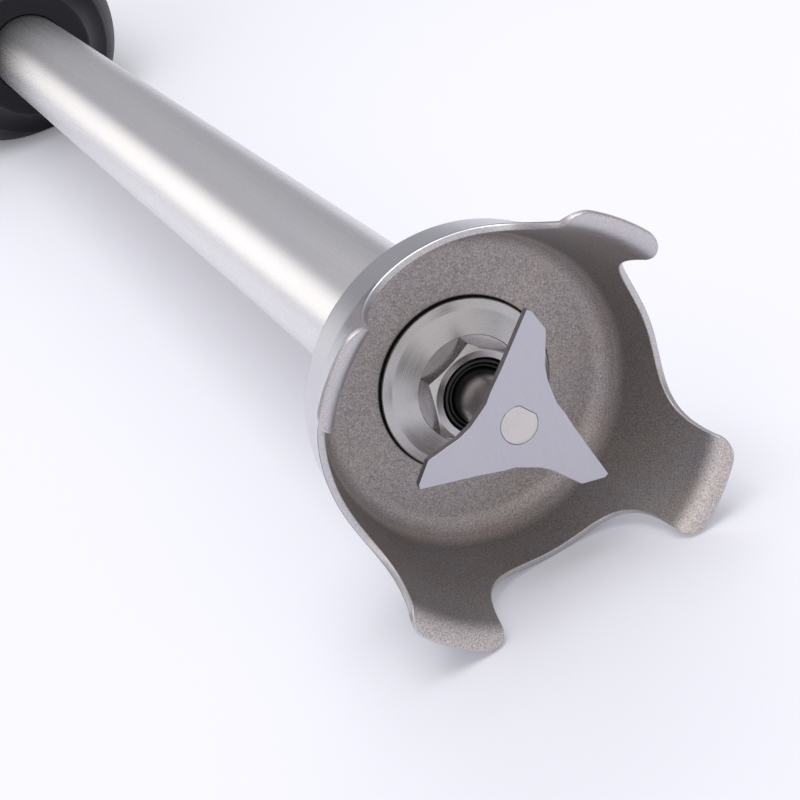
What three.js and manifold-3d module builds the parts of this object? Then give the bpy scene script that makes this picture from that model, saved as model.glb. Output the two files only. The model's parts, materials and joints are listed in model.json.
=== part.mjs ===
// Immersion blender with a long fixed shaft, lying on its back: millimetres, +Z up, shaft along Y.
//
// The bell guard opens toward -Y and the motor housing is at the +Y end. Along the shaft, places are
// given as u, the distance from the bell's inner floor toward the housing, so the blade has a
// negative u. Radii are from the shaft's axis. The whole assembly is shifted at the end, so that it
// stands on z = 0 with its bounding box centred over the origin.

import * as THREE from 'three';
import { mergeVertices } from 'three/addons/utils/BufferGeometryUtils.js';
import Module from 'manifold-3d';

const wasm = await Module();
wasm.setup();

// ---------------------------------------------------------------- driving dimensions

const GAP = 0.3;                    // room between pieces that are bolted, pressed or welded together
const DEGREE = Math.PI / 180;

// bell guard: a flared cup whose rim is cut by four arches, leaving four feet with out-turned lips
const bell = {
  floorRadius: 27.4,                // inner wall, carried down to the floor plane
  wallLean: 13.5 * DEGREE,          // the wall flares outward toward the rim
  cornerLength: 2.9,                // inner corner between floor and wall: its length up the wall
  floorCorner: 2.6,                 // and across the floor
  lipStart: 28.8,                   // length along the wall where the lip starts to curl
  lipBend: 4.5,                     // radius of that curl
  lipLean: 75 * DEGREE,             // the lip's final lean from the axis
  lipFlat: 0.5,
  archDepth: 13.8,                  // length along the wall that is left in the middle of an arch
  archHalfAngle: 30.5,              // degrees
  archPower: 3.5,                   // squareness of the arch
  lipCorner: 4.0,                   // rounding of the lip's corners
  rimThickness: 1.3,
  baseThickness: 2.7,
  floorThickness: 3,
  backCorner: 6,
  boreRadius: 11,
};
const FEET = 4;

const tube = { outer: 14, inner: 12.5, start: bell.floorThickness + GAP, end: 464 };
const shaftRadius = 5;
const shaftEnd = 485;
const runningRadius = 5.2;          // bores that the shaft turns in
const bushStarts = { lower: 150, upper: 305 };
const bush = { length: 14, neck: 9, taper: 2 };
const lowerBearing = { outer: 9.5, start: 10.2, end: 15.2 };

const blade = {
  face: -24.4,
  thickness: 1.5,
  arms: 3,
  firstArm: 63.6 * DEGREE,          // from +X toward +Z
  neckRadius: 7.45,                 // where two arms meet
  neckTurn: 58 * DEGREE,
  hole: 3.45,
  holeFlat: 3.0,
  stub: 3.25,                       // the shaft's end in that hole
  stubFlat: 2.8,
  flatTurn: 36 * DEGREE,
};

const nut = { flange: 15.95, hexFlat: 17, hexStart: 2.9, hexEnd: 7.6, bore: 6.9, boss: 10.3, bossEnd: 9.5 };
const hexTurn = 20.5 * DEGREE;      // one corner of the seal nut, from +X toward +Z

// flange that carries the tube inside the housing
const flange = { start: 444, sleeve: 18, plate: 28, plateStart: 468, plateEnd: 474, bearing: 11 };

// motor housing: its outline runs nose, shoulder, body, waist, grip, flare and head
const noseStart = 426;
const shellStart = 440;
const shellEnd = 740;
const capEnd = 752;
const wall = 3;
const noseRadius = 31;
const body = { radius: 42, start: 502, end: 580 };      // around the motor
const grip = { radius: 22.3, start: 642, end: 680 };
const head = { radius: 34, start: 730 };                // rear end, behind the hand
const screwHole = { clear: 1.9, thread: 1.5, head: 3, seat: 8, reach: 8, post: 4.2 };
const ventSlot = { starts: [506, 596], length: 12, halfHeight: 1.8, degrees: [-32, -16, 0, 16, 32] };

// motor, all on the shaft's axis
const motorShaftRadius = 4;
const stator = { half: 27, corner: 8, start: 524, end: 559, yoke: 22, pole: 15.8 };
const slotAngles = { half: 38, poleTip: 40 };           // of the slots beside the two poles, in degrees
const fieldWire = { inner: 16.8, outer: 21.4, reach: 6, span: 170, poleRoom: 31 };
const armature = { radius: 15.2, slotFloor: 9.5, teeth: 8, toothAngle: 34, slotStart: 37, slotEnd: 42 };
const frontPlate = 496.3;
const rearPlate = 585;
const plateThickness = 4;
const plateHub = { radius: 14, front: 10, rear: 6 };
const motorShaft = { start: 488.2, end: 596 };
const motorBearing = { outer: 11, width: 7 };
const motorScrewOffset = 22.5;
const fan = { start: 508, length: 9, radius: 24, hub: 9, vanes: 9 };
const winding = { neck: 11, radius: 13.6, length: 5.5, front: 518.2 };
const commutator = { start: 567, end: 576, radius: 10 };
const brush = { inner: 10.4, outer: 20, halfWidth: 3, halfHeight: 2.5 };
const brushHolder = { inner: 12, outer: 28, back: 26.8, halfWidth: 4.4, halfHeight: 4 };
const brushSpring = { radius: 1.8, wire: 0.35, length: 6, turns: 3 };

// jaw coupling between the motor's shaft and the long shaft
const coupling = { radius: 10, hub: 6, jaw: 6.5, jawInner: 6, jawAngle: 50 };
const spider = { start: 482.3, length: 5.6, core: 5.6, legInner: 4.6, legAngle: 34 };

// controls
const triggerPivot = { u: 622, z: 15 };
const triggerWidth = 15.6;
const triggerPin = 1.9;
const triggerSpring = { u: 640, radius: 3, wire: 0.45, length: 9, turns: 4 };
const toggle = { halfWidth: 6, start: 630, end: 670, bottom: -12, top: 1, plungerU: 660 };
const plunger = { radius: 1.6, bottom: -2.4, top: 12.9 };
const wheel = { u: 721, z: 20, radius: 16, width: 7, ridges: 24, spindle: 2 };
const lock = { u: 652, z: 2, radius: 5, collar: 6.6, stub: 2.2, outerFace: 25.5, innerFace: 14.6 };
const lockSpring = { radius: 3, wire: 0.4, length: 7, turns: 4, fixedEnd: -6.8 };
const ring = { u: 758, top: 23, radius: 15, wire: 2, lug: 5.5, bore: 3 };
const gland = { z: -19.5, bore: 3.6, thread: 6.2, hole: 6.5, start: 743, collar: 8 };

// ---------------------------------------------------------------- materials

function material(color, roughness, metalness) {
  return new THREE.MeshStandardMaterial({ color, roughness, metalness });
}

const steel = () => material(0xb9b7b8, 0.32, 1);
const blastedSteel = () => material(0x8f8985, 0.6, 1);
const bladeSteel = () => material(0xc2c0cc, 0.35, 1);
const blackPlastic = () => material(0x1c1c20, 0.5, 0);
const greyPlastic = () => material(0x55565c, 0.5, 0);
const redPlastic = () => material(0xa81f1f, 0.4, 0);
const rubber = () => material(0x121214, 0.75, 0);
const aluminium = () => material(0xa9abb0, 0.45, 1);
const lamination = () => material(0x6b6a70, 0.55, 0.8);
const copper = () => material(0xb06a3a, 0.35, 1);
const brass = () => material(0xc2a25a, 0.35, 1);
const carbon = () => material(0x262628, 0.7, 0);
const whitePlastic = () => material(0xe6e2d8, 0.5, 0);
const board = () => material(0x2c6b45, 0.6, 0);

// ---------------------------------------------------------------- solid tools

// Shared vertices, no empty triangles, and faces that point out.
function closed(geometry) {
  const bare = geometry.clone();
  bare.deleteAttribute('normal');
  bare.deleteAttribute('uv');
  const merged = mergeVertices(bare, 1e-4);
  const index = merged.index.array;
  const position = merged.attributes.position;
  const triangles = [];
  let volume = 0;
  const a = new THREE.Vector3();
  const b = new THREE.Vector3();
  const c = new THREE.Vector3();
  for (let i = 0; i < index.length; i += 3) {
    const corners = [index[i], index[i + 1], index[i + 2]];
    if (new Set(corners).size < 3) continue;
    triangles.push(corners);
    a.fromBufferAttribute(position, corners[0]);
    b.fromBufferAttribute(position, corners[1]);
    c.fromBufferAttribute(position, corners[2]);
    volume += a.dot(b.cross(c));
  }
  if (volume < 0) triangles.forEach((corners) => corners.reverse());
  merged.setIndex(triangles.flat());
  return merged;
}

function toManifold(geometry) {
  const solid = closed(geometry);
  return new wasm.Manifold(new wasm.Mesh({
    numProp: 3,
    vertProperties: new Float32Array(solid.attributes.position.array),
    triVerts: new Uint32Array(solid.index.array),
  }));
}

function fromManifold(manifold) {
  const mesh = manifold.getMesh();
  const geometry = new THREE.BufferGeometry();
  geometry.setAttribute('position', new THREE.BufferAttribute(mesh.vertProperties, 3));
  geometry.setIndex(new THREE.BufferAttribute(mesh.triVerts, 1));
  return geometry;
}

function join(first, ...others) {
  return fromManifold(others.reduce((sum, other) => sum.add(toManifold(other)), toManifold(first)));
}

function cut(first, ...others) {
  return fromManifold(others.reduce((rest, other) => rest.subtract(toManifold(other)), toManifold(first)));
}

function overlap(first, other) {
  return fromManifold(toManifold(first).intersect(toManifold(other)));
}

// A solid turned about the shaft's axis from [radius, u] points. It is closed across if it starts
// and ends off the axis.
function turned(points, segments) {
  const outline = points.map(([radius, u]) => new THREE.Vector2(radius, u));
  const onAxis = points[0][0] === 0 && points.at(-1)[0] === 0;
  if (!onAxis) outline.push(outline[0].clone());
  return closed(new THREE.LatheGeometry(outline, segments));
}

// A plain ring or sleeve.
function sleeve(inner, outer, start, end, segments = 32) {
  return turned([[inner, start], [outer, start], [outer, end], [inner, end]], segments);
}

function box(x, u, z) {
  const geometry = new THREE.BoxGeometry(x[1] - x[0], u[1] - u[0], z[1] - z[0]);
  return geometry.translate((x[0] + x[1]) / 2, (u[0] + u[1]) / 2, (z[0] + z[1]) / 2);
}

function rodAlongY(radius, start, end, x, z, segments = 16) {
  const geometry = new THREE.CylinderGeometry(radius, radius, end - start, segments);
  return geometry.translate(x, (start + end) / 2, z);
}

function rodAlongX(radius, start, end, u, z, segments = 16) {
  const geometry = new THREE.CylinderGeometry(radius, radius, end - start, segments).rotateZ(Math.PI / 2);
  return geometry.translate((start + end) / 2, u, z);
}

function rodAlongZ(radius, start, end, x, u, segments = 16) {
  const geometry = new THREE.CylinderGeometry(radius, radius, end - start, segments).rotateX(Math.PI / 2);
  return geometry.translate(x, u, (start + end) / 2);
}

// A shape drawn in X and Z, extruded along the shaft from start to end.
function alongShaft(shape, start, end, curveSegments = 8) {
  const options = { depth: end - start, bevelEnabled: false, curveSegments };
  return new THREE.ExtrudeGeometry(shape, options).rotateX(Math.PI / 2).translate(0, end, 0);
}

// A shape drawn in u and Z, extruded across the object, centred on its middle plane.
function acrossObject(shape, width) {
  const options = { depth: width, bevelEnabled: false, curveSegments: 6 };
  const geometry = new THREE.ExtrudeGeometry(shape, options);
  return geometry.rotateY(Math.PI / 2).rotateX(Math.PI / 2).translate(-width / 2, 0, 0);
}

function roundedSquare(half, corner) {
  const shape = new THREE.Shape();
  const flat = half - corner;
  for (let side = 0; side < 4; side += 1) {
    const middle = (side * 90 + 45) * DEGREE;
    const centreX = Math.SQRT2 * flat * Math.cos(middle);
    const centreZ = Math.SQRT2 * flat * Math.sin(middle);
    shape.absarc(centreX, centreZ, corner, side * 90 * DEGREE, (side + 1) * 90 * DEGREE, false);
  }
  return shape;
}

// The part of a disc between two angles and two radii.
function sector(inner, outer, startDegrees, endDegrees) {
  const shape = new THREE.Shape();
  shape.absarc(0, 0, outer, startDegrees * DEGREE, endDegrees * DEGREE, false);
  shape.absarc(0, 0, inner, endDegrees * DEGREE, startDegrees * DEGREE, true);
  return shape;
}

class Helix extends THREE.Curve {
  constructor(radius, length, turns) {
    super();
    this.radius = radius;
    this.length = length;
    this.turns = turns;
  }

  getPoint(t, target = new THREE.Vector3()) {
    const angle = t * this.turns * 2 * Math.PI;
    return target.set(this.radius * Math.cos(angle), this.radius * Math.sin(angle), t * this.length);
  }
}

// A coil spring along +Z from the origin.
function coilSpring(radius, wire, length, turns) {
  const section = new THREE.Shape();
  const sides = 4;
  for (let side = 0; side < sides; side += 1) {
    const angle = (side / sides) * 2 * Math.PI;
    const place = [wire * Math.cos(angle), wire * Math.sin(angle)];
    if (side === 0) section.moveTo(...place);
    else section.lineTo(...place);
  }
  return new THREE.ExtrudeGeometry(section, {
    steps: Math.round(turns * 7),
    extrudePath: new Helix(radius, length, turns),
  });
}

const assembly = new THREE.Group();

function add(name, geometry, look) {
  const mesh = new THREE.Mesh(closed(geometry), look);
  mesh.name = name;
  assembly.add(mesh);
}

// ---------------------------------------------------------------- bell guard

const lipArc = bell.lipBend * (bell.lipLean - bell.wallLean);
const wallLength = bell.lipStart + lipArc + bell.lipFlat;

// A point of the inner wall at a length from the floor, with the wall's lean there. s is the height
// above the bell's floor.
function innerWall(length) {
  const straight = Math.min(length, bell.lipStart);
  const curl = Math.min(Math.max(length - bell.lipStart, 0), lipArc);
  const flat = Math.max(length - bell.lipStart - lipArc, 0);
  const lean = bell.wallLean + curl / bell.lipBend;
  const radius = bell.floorRadius + straight * Math.sin(bell.wallLean)
    + bell.lipBend * (Math.cos(bell.wallLean) - Math.cos(lean)) + flat * Math.sin(lean);
  const s = straight * Math.cos(bell.wallLean)
    + bell.lipBend * (Math.sin(lean) - Math.sin(bell.wallLean)) + flat * Math.cos(lean);
  return { radius, s, lean };
}

function outerWall(length) {
  const inner = innerWall(length);
  const taper = Math.max(1 - length / bell.archDepth, 0);
  const thickness = bell.rimThickness + (bell.baseThickness - bell.rimThickness) * taper;
  return {
    radius: inner.radius + thickness * Math.cos(inner.lean),
    s: inner.s - thickness * Math.sin(inner.lean),
  };
}

// Length of the wall at an angle in degrees from the middle of the nearest arch.
function edgeLength(degrees) {
  const topOfArch = wallLength - bell.lipCorner;
  if (degrees < bell.archHalfAngle) {
    const rise = (1 - (degrees / bell.archHalfAngle) ** bell.archPower) ** (1 / bell.archPower);
    return Math.min(wallLength - (wallLength - bell.archDepth) * rise, topOfArch);
  }
  const lipRadius = innerWall(wallLength).radius;
  const across = (degrees - bell.archHalfAngle) * DEGREE * lipRadius;
  const missing = Math.max(bell.lipCorner - across, 0);
  return topOfArch + Math.sqrt(bell.lipCorner ** 2 - missing ** 2);
}

// One closed [radius, s] outline of the bell's wall and floor, for a wall of the given length.
function bellOutline(length) {
  const steps = 5;
  const points = [[bell.boreRadius, 0], [bell.floorRadius - bell.floorCorner, 0]];
  const cornerMiddle = innerWall(bell.cornerLength / 3);
  points.push([cornerMiddle.radius - 0.55, cornerMiddle.s - 0.25]);
  const along = (step) => {
    const share = 1 - (1 - step / steps) ** 2;
    return bell.cornerLength + (length - bell.cornerLength) * share;
  };
  for (let step = 0; step <= steps; step += 1) {
    const place = innerWall(along(step));
    points.push([place.radius, place.s]);
  }
  const rim = innerWall(length);
  const halfThickness = bell.rimThickness / 2;
  points.push([
    rim.radius + halfThickness * (Math.cos(rim.lean) + 0.7 * Math.sin(rim.lean)),
    rim.s - halfThickness * (Math.sin(rim.lean) - 0.7 * Math.cos(rim.lean)),
  ]);
  for (let step = steps; step >= 0; step -= 1) {
    const place = outerWall(along(step));
    points.push([place.radius, place.s]);
  }
  const backRadius = bell.floorRadius + bell.baseThickness;
  const cornerCentre = [backRadius - bell.backCorner, bell.backCorner - bell.floorThickness];
  for (const turn of [10, 50, 90]) {
    points.push([
      cornerCentre[0] + bell.backCorner * Math.cos(turn * DEGREE),
      cornerCentre[1] - bell.backCorner * Math.sin(turn * DEGREE),
    ]);
  }
  points.push([bell.boreRadius, -bell.floorThickness]);
  return points;
}

// Angles from the middle of an arch to the middle of a foot, closer together where the edge climbs.
const edgeAngles = [0, 10, 18.5, 25, 29, 30.5, 33, 37.5, 45];

function bellGuard() {
  const sectorAngles = [...edgeAngles.slice(0, -1), ...edgeAngles.toReversed().map((angle) => 90 - angle)];
  const around = [];
  for (let foot = 0; foot < FEET; foot += 1) {
    sectorAngles.slice(0, -1).forEach((angle) => around.push(foot * 90 + angle));
  }
  around.push(360);
  const pattern = bellOutline(wallLength).map(([radius, s]) => new THREE.Vector2(radius, -s));
  pattern.push(pattern[0].clone());
  const geometry = new THREE.LatheGeometry(pattern, around.length - 1);
  const position = geometry.attributes.position;
  around.forEach((angle, column) => {
    const fromArch = Math.abs(((angle + 45) % 90) - 45);
    const outline = bellOutline(edgeLength(fromArch));
    outline.push(outline[0]);
    const turn = (angle % 360) * DEGREE;
    outline.forEach(([radius, s], row) => {
      const vertex = column * outline.length + row;
      position.setXYZ(vertex, radius * Math.cos(turn), -s, radius * Math.sin(turn));
    });
  });
  return closed(geometry);
}

const bellGeometry = bellGuard();
bellGeometry.computeBoundingBox();
add('bell_guard', bellGeometry, blastedSteel());

// The lips' lowest points and the housing's flat underside rest on one plane.
const restDepth = -bellGeometry.boundingBox.min.z;
const bellFront = bellGeometry.boundingBox.min.y;

// ---------------------------------------------------------------- shaft, blade and seal

// A disc outline with one flat, turned so that the flat's normal is at the given angle.
function flattedDisc(radius, flat, turn) {
  const half = Math.acos(flat / radius);
  const shape = new THREE.Shape();
  shape.absarc(0, 0, radius, turn + half, turn - half + 2 * Math.PI, false);
  shape.closePath();
  return shape;
}

const bladeBack = blade.face + blade.thickness;

function bladeGeometry() {
  // One arm with its tip toward +X: the tip, the trailing edge, the neck, and the leading edge.
  const arm = [[19.9, 0.25], [19.7, -0.55], [16.43, -3.49], [10.1, -3.87], [7.67, -4.52]];
  const leading = [[13.5, 2.65], [9.45, 4.2], [5.93, 5.73]];
  const shape = new THREE.Shape();
  const place = ([x, z], turn) => [
    x * Math.cos(turn) - z * Math.sin(turn),
    x * Math.sin(turn) + z * Math.cos(turn),
  ];
  for (let k = 0; k < blade.arms; k += 1) {
    const turn = blade.firstArm + (2 * Math.PI * k) / blade.arms;
    const points = [...arm.toReversed(), ...leading].map((point) => place(point, turn));
    if (k === 0) shape.moveTo(...points[0]);
    else shape.lineTo(...points[0]);
    points.slice(1).forEach((point) => shape.lineTo(...point));
    const neck = [blade.neckRadius * Math.cos(blade.neckTurn), blade.neckRadius * Math.sin(blade.neckTurn)];
    shape.lineTo(...place(neck, turn));
  }
  shape.holes.push(flattedDisc(blade.hole, blade.holeFlat, blade.flatTurn));
  return alongShaft(shape, blade.face, bladeBack, 14);
}

function driveShaft() {
  const stubShape = flattedDisc(blade.stub, blade.stubFlat, blade.flatTurn);
  const stub = alongShaft(stubShape, blade.face, bladeBack + 1, 14);
  const rod = rodAlongY(shaftRadius, bladeBack + GAP, shaftEnd, 0, 0, 24);
  return join(rod, stub);
}

function sealNut() {
  const flange = turned([
    [nut.bore, -nut.hexStart - 0.6],
    [9.9, -nut.hexStart],
    [14.2, -1.4],
    [nut.flange, -1.0],
    [nut.flange, -GAP],
    [nut.boss, -GAP],
    [nut.boss, nut.bossEnd],
    [runningRadius + 2.4, nut.bossEnd],
    [runningRadius + 2.4, 2],
    [runningRadius + 0.4, 2],
    [runningRadius + 0.4, -1],
    [nut.bore, -1],
  ], 28);
  const cornerRadius = nut.hexFlat / 2 / Math.cos(30 * DEGREE);
  const hexagon = new THREE.Shape();
  for (let k = 0; k < 6; k += 1) {
    const turn = hexTurn + k * 60 * DEGREE;
    const corner = [cornerRadius * Math.cos(turn), cornerRadius * Math.sin(turn)];
    if (k === 0) hexagon.moveTo(...corner);
    else hexagon.lineTo(...corner);
  }
  const prism = alongShaft(hexagon, -nut.hexEnd, -nut.hexStart + 0.8);
  const chamfer = turned([
    [0, -nut.hexEnd],
    [8.3, -nut.hexEnd],
    [10.4, -nut.hexEnd + 1.2],
    [10.4, 0],
    [0, 0],
  ], 24);
  const bore = rodAlongY(nut.bore, -nut.hexEnd - 1, -1, 0, 0, 28);
  return join(flange, cut(overlap(prism, chamfer), bore));
}

add('drive_shaft', driveShaft(), steel());
add('blade', bladeGeometry(), bladeSteel());
add('seal_nut', sealNut(), steel());

// Rubber body with two sealing lips that stand up round the shaft.
const sealRadius = nut.bore - GAP;
add('lip_seal', turned([
  [sealRadius, -1.3],
  [sealRadius, -nut.hexEnd],
  [6.1, -nut.hexEnd],
  [5.95, -6.4],
  [5.7, -6.4],
  [5.5, -7.4],
  [5.3, -7.4],
  [5.3, -1.3],
], 20), rubber());

// ---------------------------------------------------------------- shaft tube and bearings

const holderRadius = tube.inner - GAP;
const holderEnd = 26;
const holderBore = 7;
const bearingSeat = lowerBearing.outer + GAP;
const bossSeatEnd = bell.floorThickness + 7;
add('shaft_tube', sleeve(tube.inner, tube.outer, tube.start, tube.end, 40), steel());
add('bearing_holder', turned([
  [nut.boss + GAP, tube.start],
  [holderRadius, tube.start],
  [holderRadius, holderEnd],
  [holderBore, holderEnd],
  [holderBore, lowerBearing.end + 0.4],
  [bearingSeat, lowerBearing.end + 0.4],
  [bearingSeat, bossSeatEnd],
  [nut.boss + GAP, bossSeatEnd],
], 24), aluminium());
add('lower_bearing', sleeve(
  runningRadius,
  lowerBearing.outer,
  lowerBearing.start,
  lowerBearing.end,
  20,
), steel());

for (const [place, start] of Object.entries(bushStarts)) {
  const end = start + bush.length;
  add(`shaft_bush_${place}`, turned([
    [runningRadius, start],
    [bush.neck, start],
    [holderRadius, start + bush.taper],
    [holderRadius, end - bush.taper],
    [bush.neck, end],
    [runningRadius, end],
  ], 18), whitePlastic());
}

const flangeSeat = flange.bearing + GAP;
const flangeSeatEnd = flange.plateEnd - 2.7;
const flangeBore = 8;
add('tube_flange', turned([
  [tube.outer + GAP, flange.start],
  [flange.sleeve, flange.start],
  [flange.sleeve, flange.plateStart],
  [flange.plate, flange.plateStart],
  [flange.plate, flange.plateEnd],
  [flangeBore, flange.plateEnd],
  [flangeBore, flangeSeatEnd],
  [flangeSeat, flangeSeatEnd],
  [flangeSeat, tube.end + GAP],
  [tube.outer + GAP, tube.end + GAP],
], 24), aluminium());
add('upper_bearing', sleeve(runningRadius, flange.bearing, tube.end + 1, tube.end + 7, 20), steel());

// ---------------------------------------------------------------- jaw coupling

// A hub with two jaws. They point from the hub toward the other half of the coupling.
function couplingHub(bore, hubStart, jawStart, turnDegrees) {
  const hub = sleeve(bore, coupling.radius, hubStart, hubStart + coupling.hub, 18);
  const jaws = [0, 180].map((side) => {
    const start = turnDegrees + side;
    const jaw = sector(coupling.jawInner, coupling.radius - 0.2, start, start + coupling.jawAngle);
    return alongShaft(jaw, jawStart, jawStart + coupling.jaw, 3);
  });
  return join(hub, ...jaws);
}

const drivenHub = { start: flange.plateEnd + 1.5, jaws: flange.plateEnd + 7 };
const drivingHub = { start: spider.start + coupling.jaw, jaws: spider.start + 0.5 };
add('driven_coupling', couplingHub(shaftRadius + GAP, drivenHub.start, drivenHub.jaws, 0), steel());
add('driving_coupling', couplingHub(motorShaftRadius + GAP, drivingHub.start, drivingHub.jaws, 90), steel());

function couplingSpider() {
  const end = spider.start + spider.length;
  const core = new THREE.Shape();
  core.absarc(0, 0, spider.core, 0, 2 * Math.PI, false);
  const legs = [0, 1, 2, 3].map((k) => {
    const start = coupling.jawAngle + 3 + k * 90;
    const leg = sector(spider.legInner, coupling.radius - 0.4, start, start + spider.legAngle);
    return alongShaft(leg, spider.start, end, 3);
  });
  const disc = alongShaft(core, spider.start, end, 6);
  const shaftRoom = rodAlongY(shaftRadius + GAP, spider.start - 1, shaftEnd + GAP, 0, 0, 24);
  return cut(join(disc, ...legs), shaftRoom);
}

add('coupling_spider', couplingSpider(), rubber());

// ---------------------------------------------------------------- motor

add('motor_shaft', rodAlongY(motorShaftRadius, motorShaft.start, motorShaft.end, 0, 0, 20), steel());

const screwCorners = [[motorScrewOffset, motorScrewOffset], [-motorScrewOffset, -motorScrewOffset]];

function screwHoles(start, end) {
  return screwCorners.map(([x, z]) => rodAlongY(screwHole.clear, start - 1, end + 1, x, z, 8));
}

// A square end plate with a bearing seat that opens toward the stator.
function motorPlate(start, seatSide) {
  const plate = alongShaft(roundedSquare(stator.half, stator.corner), start, start + plateThickness, 4);
  const frontHub = [start + 0.5, start + plateHub.front];
  const rearHub = [start - plateHub.rear, start + plateThickness - 0.5];
  const hub = rodAlongY(plateHub.radius, ...(seatSide > 0 ? frontHub : rearHub), 0, 0, 18);
  const seatStart = seatSide > 0 ? start + 2.7 : start - 7;
  const seatEnd = seatSide > 0 ? start + 11 : start + 1.3;
  const seat = rodAlongY(motorBearing.outer + GAP, seatStart, seatEnd, 0, 0, 18);
  const shaftHole = rodAlongY(motorShaftRadius + 3, start - 8, start + 12, 0, 0, 12);
  return cut(join(plate, hub), seat, shaftHole, ...screwHoles(start, start + plateThickness));
}

add('motor_front_plate', motorPlate(frontPlate, 1), aluminium());
add('motor_rear_plate', motorPlate(rearPlate, -1), aluminium());
const motorBearingStarts = { front: frontPlate + 3, rear: rearPlate + 1 - motorBearing.width };
for (const [place, start] of Object.entries(motorBearingStarts)) {
  const end = start + motorBearing.width;
  add(`motor_${place}_bearing`, sleeve(motorShaftRadius + 0.2, motorBearing.outer, start, end, 16), steel());
}

function coolingFan() {
  const end = fan.start + fan.length;
  const hub = sleeve(motorShaftRadius + GAP, fan.hub, fan.start, end, 20);
  const disc = sleeve(fan.hub - 1, fan.radius, end - 1.5, end, 28);
  const vanes = [];
  for (let k = 0; k < fan.vanes; k += 1) {
    const vane = box([fan.hub - 1, fan.radius - 1], [fan.start + 1, end - 1], [-0.7, 0.7]);
    vanes.push(vane.rotateY(k * (360 / fan.vanes) * DEGREE));
  }
  return join(disc, hub, ...vanes);
}

add('cooling_fan', coolingFan(), greyPlastic());

// The stator's laminations: a square yoke with an upper and a lower pole.
function statorCore() {
  const outline = roundedSquare(stator.half, stator.corner);
  const hole = new THREE.Path();
  for (const side of [0, 180]) {
    const { half, poleTip } = slotAngles;
    hole.absarc(0, 0, stator.yoke, (side - half) * DEGREE, (side + half) * DEGREE, false);
    hole.absarc(0, 0, stator.pole, (side + poleTip) * DEGREE, (side + 180 - poleTip) * DEGREE, false);
  }
  outline.holes.push(hole);
  return cut(alongShaft(outline, stator.start, stator.end, 8), ...screwHoles(stator.start, stator.end));
}

add('stator_core', statorCore(), lamination());

// A coil wound round one pole: two sides in the slots and an arched turn at each end.
function fieldCoil(start) {
  const turns = sector(fieldWire.inner, fieldWire.outer, start, start + fieldWire.span);
  const bundle = alongShaft(turns, stator.start - fieldWire.reach, stator.end + fieldWire.reach, 8);
  const poleEnds = [start + fieldWire.poleRoom, start + fieldWire.span - fieldWire.poleRoom];
  const aroundPole = sector(fieldWire.inner - 1.8, fieldWire.outer + 2.6, ...poleEnds);
  return cut(bundle, alongShaft(aroundPole, stator.start - GAP, stator.end + GAP, 6));
}

add('field_coil_upper', fieldCoil(5), copper());
add('field_coil_lower', fieldCoil(185), copper());

function armatureCore() {
  const { radius, slotFloor, teeth, toothAngle, slotStart, slotEnd } = armature;
  const outline = new THREE.Shape();
  for (let k = 0; k < teeth; k += 1) {
    const start = k * (360 / teeth);
    outline.absarc(0, 0, radius, start * DEGREE, (start + toothAngle) * DEGREE, false);
    outline.absarc(0, 0, slotFloor, (start + slotStart) * DEGREE, (start + slotEnd) * DEGREE, false);
  }
  const bore = rodAlongY(motorShaftRadius + GAP, stator.start - 1, stator.end + 1, 0, 0, 12);
  return cut(alongShaft(outline, stator.start, stator.end, 2), bore);
}

add('armature_core', armatureCore(), lamination());
for (const [place, start] of Object.entries({ front: winding.front, rear: stator.end + GAP })) {
  add(`armature_winding_${place}`, turned([
    [motorShaftRadius + 1, start],
    [winding.neck, start],
    [winding.radius, start + winding.length / 2],
    [winding.radius, start + winding.length],
    [motorShaftRadius + 1, start + winding.length],
  ], 20), copper());
}
add('commutator', sleeve(
  motorShaftRadius + GAP,
  commutator.radius,
  commutator.start,
  commutator.end,
  20,
), copper());

for (const [side, label] of [[-1, 'left'], [1, 'right']]) {
  const across = (from, to) => (side > 0 ? [from, to] : [-to, -from]);
  const middle = (commutator.start + commutator.end) / 2;
  const around = (half) => [middle - half, middle + half];
  const channel = { halfWidth: brush.halfWidth + GAP, halfHeight: brush.halfHeight + GAP };
  const holder = cut(
    box(
      across(brushHolder.inner, brushHolder.outer),
      around(brushHolder.halfWidth),
      [-brushHolder.halfHeight, brushHolder.halfHeight],
    ),
    box(
      across(brushHolder.inner - 1, brushHolder.back),
      around(channel.halfWidth),
      [-channel.halfHeight, channel.halfHeight],
    ),
  );
  add(`brush_holder_${label}`, holder, brass());
  add(`carbon_brush_${label}`, box(
    across(brush.inner, brush.outer),
    around(brush.halfWidth),
    [-brush.halfHeight, brush.halfHeight],
  ), carbon());
  const { radius, wire, length, turns } = brushSpring;
  const spring = coilSpring(radius, wire, length, turns).rotateY(side * 90 * DEGREE);
  add(`brush_spring_${label}`, spring.translate(side * (brush.outer + 0.5), middle, 0), steel());
}

screwCorners.forEach(([x, z], index) => {
  const screwHead = rodAlongY(screwHole.head, frontPlate - 2.4, frontPlate - GAP, x, z, 12);
  const shank = rodAlongY(screwHole.thread, frontPlate - 1, rearPlate + plateThickness + 1.5, x, z, 8);
  add(`motor_screw_${index + 1}`, join(screwHead, shank), steel());
});

// ---------------------------------------------------------------- housing

// The housing's side outline as [radius, u], drawn `inset` inside its outer surface.
function housingOutline(inset, start, end) {
  const bodyWall = body.radius - inset;
  const gripWall = grip.radius - inset;
  const headWall = head.radius - inset;
  const waist = (body.end + grip.start) / 2 + 1;
  const path = new THREE.Path();
  path.moveTo(noseRadius - inset, start);
  path.bezierCurveTo(noseRadius + 5 - inset, shellStart + 8, bodyWall, body.start - 40, bodyWall, body.start);
  path.lineTo(bodyWall, body.end);
  path.bezierCurveTo(bodyWall, waist, gripWall, waist, gripWall, grip.start);
  path.lineTo(gripWall, grip.end);
  path.bezierCurveTo(gripWall, grip.end + 28, headWall, head.start - 26, headWall, head.start);
  path.lineTo(headWall, end);
  return path.getPoints(4).map((point) => [point.x, point.y]);
}

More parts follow.
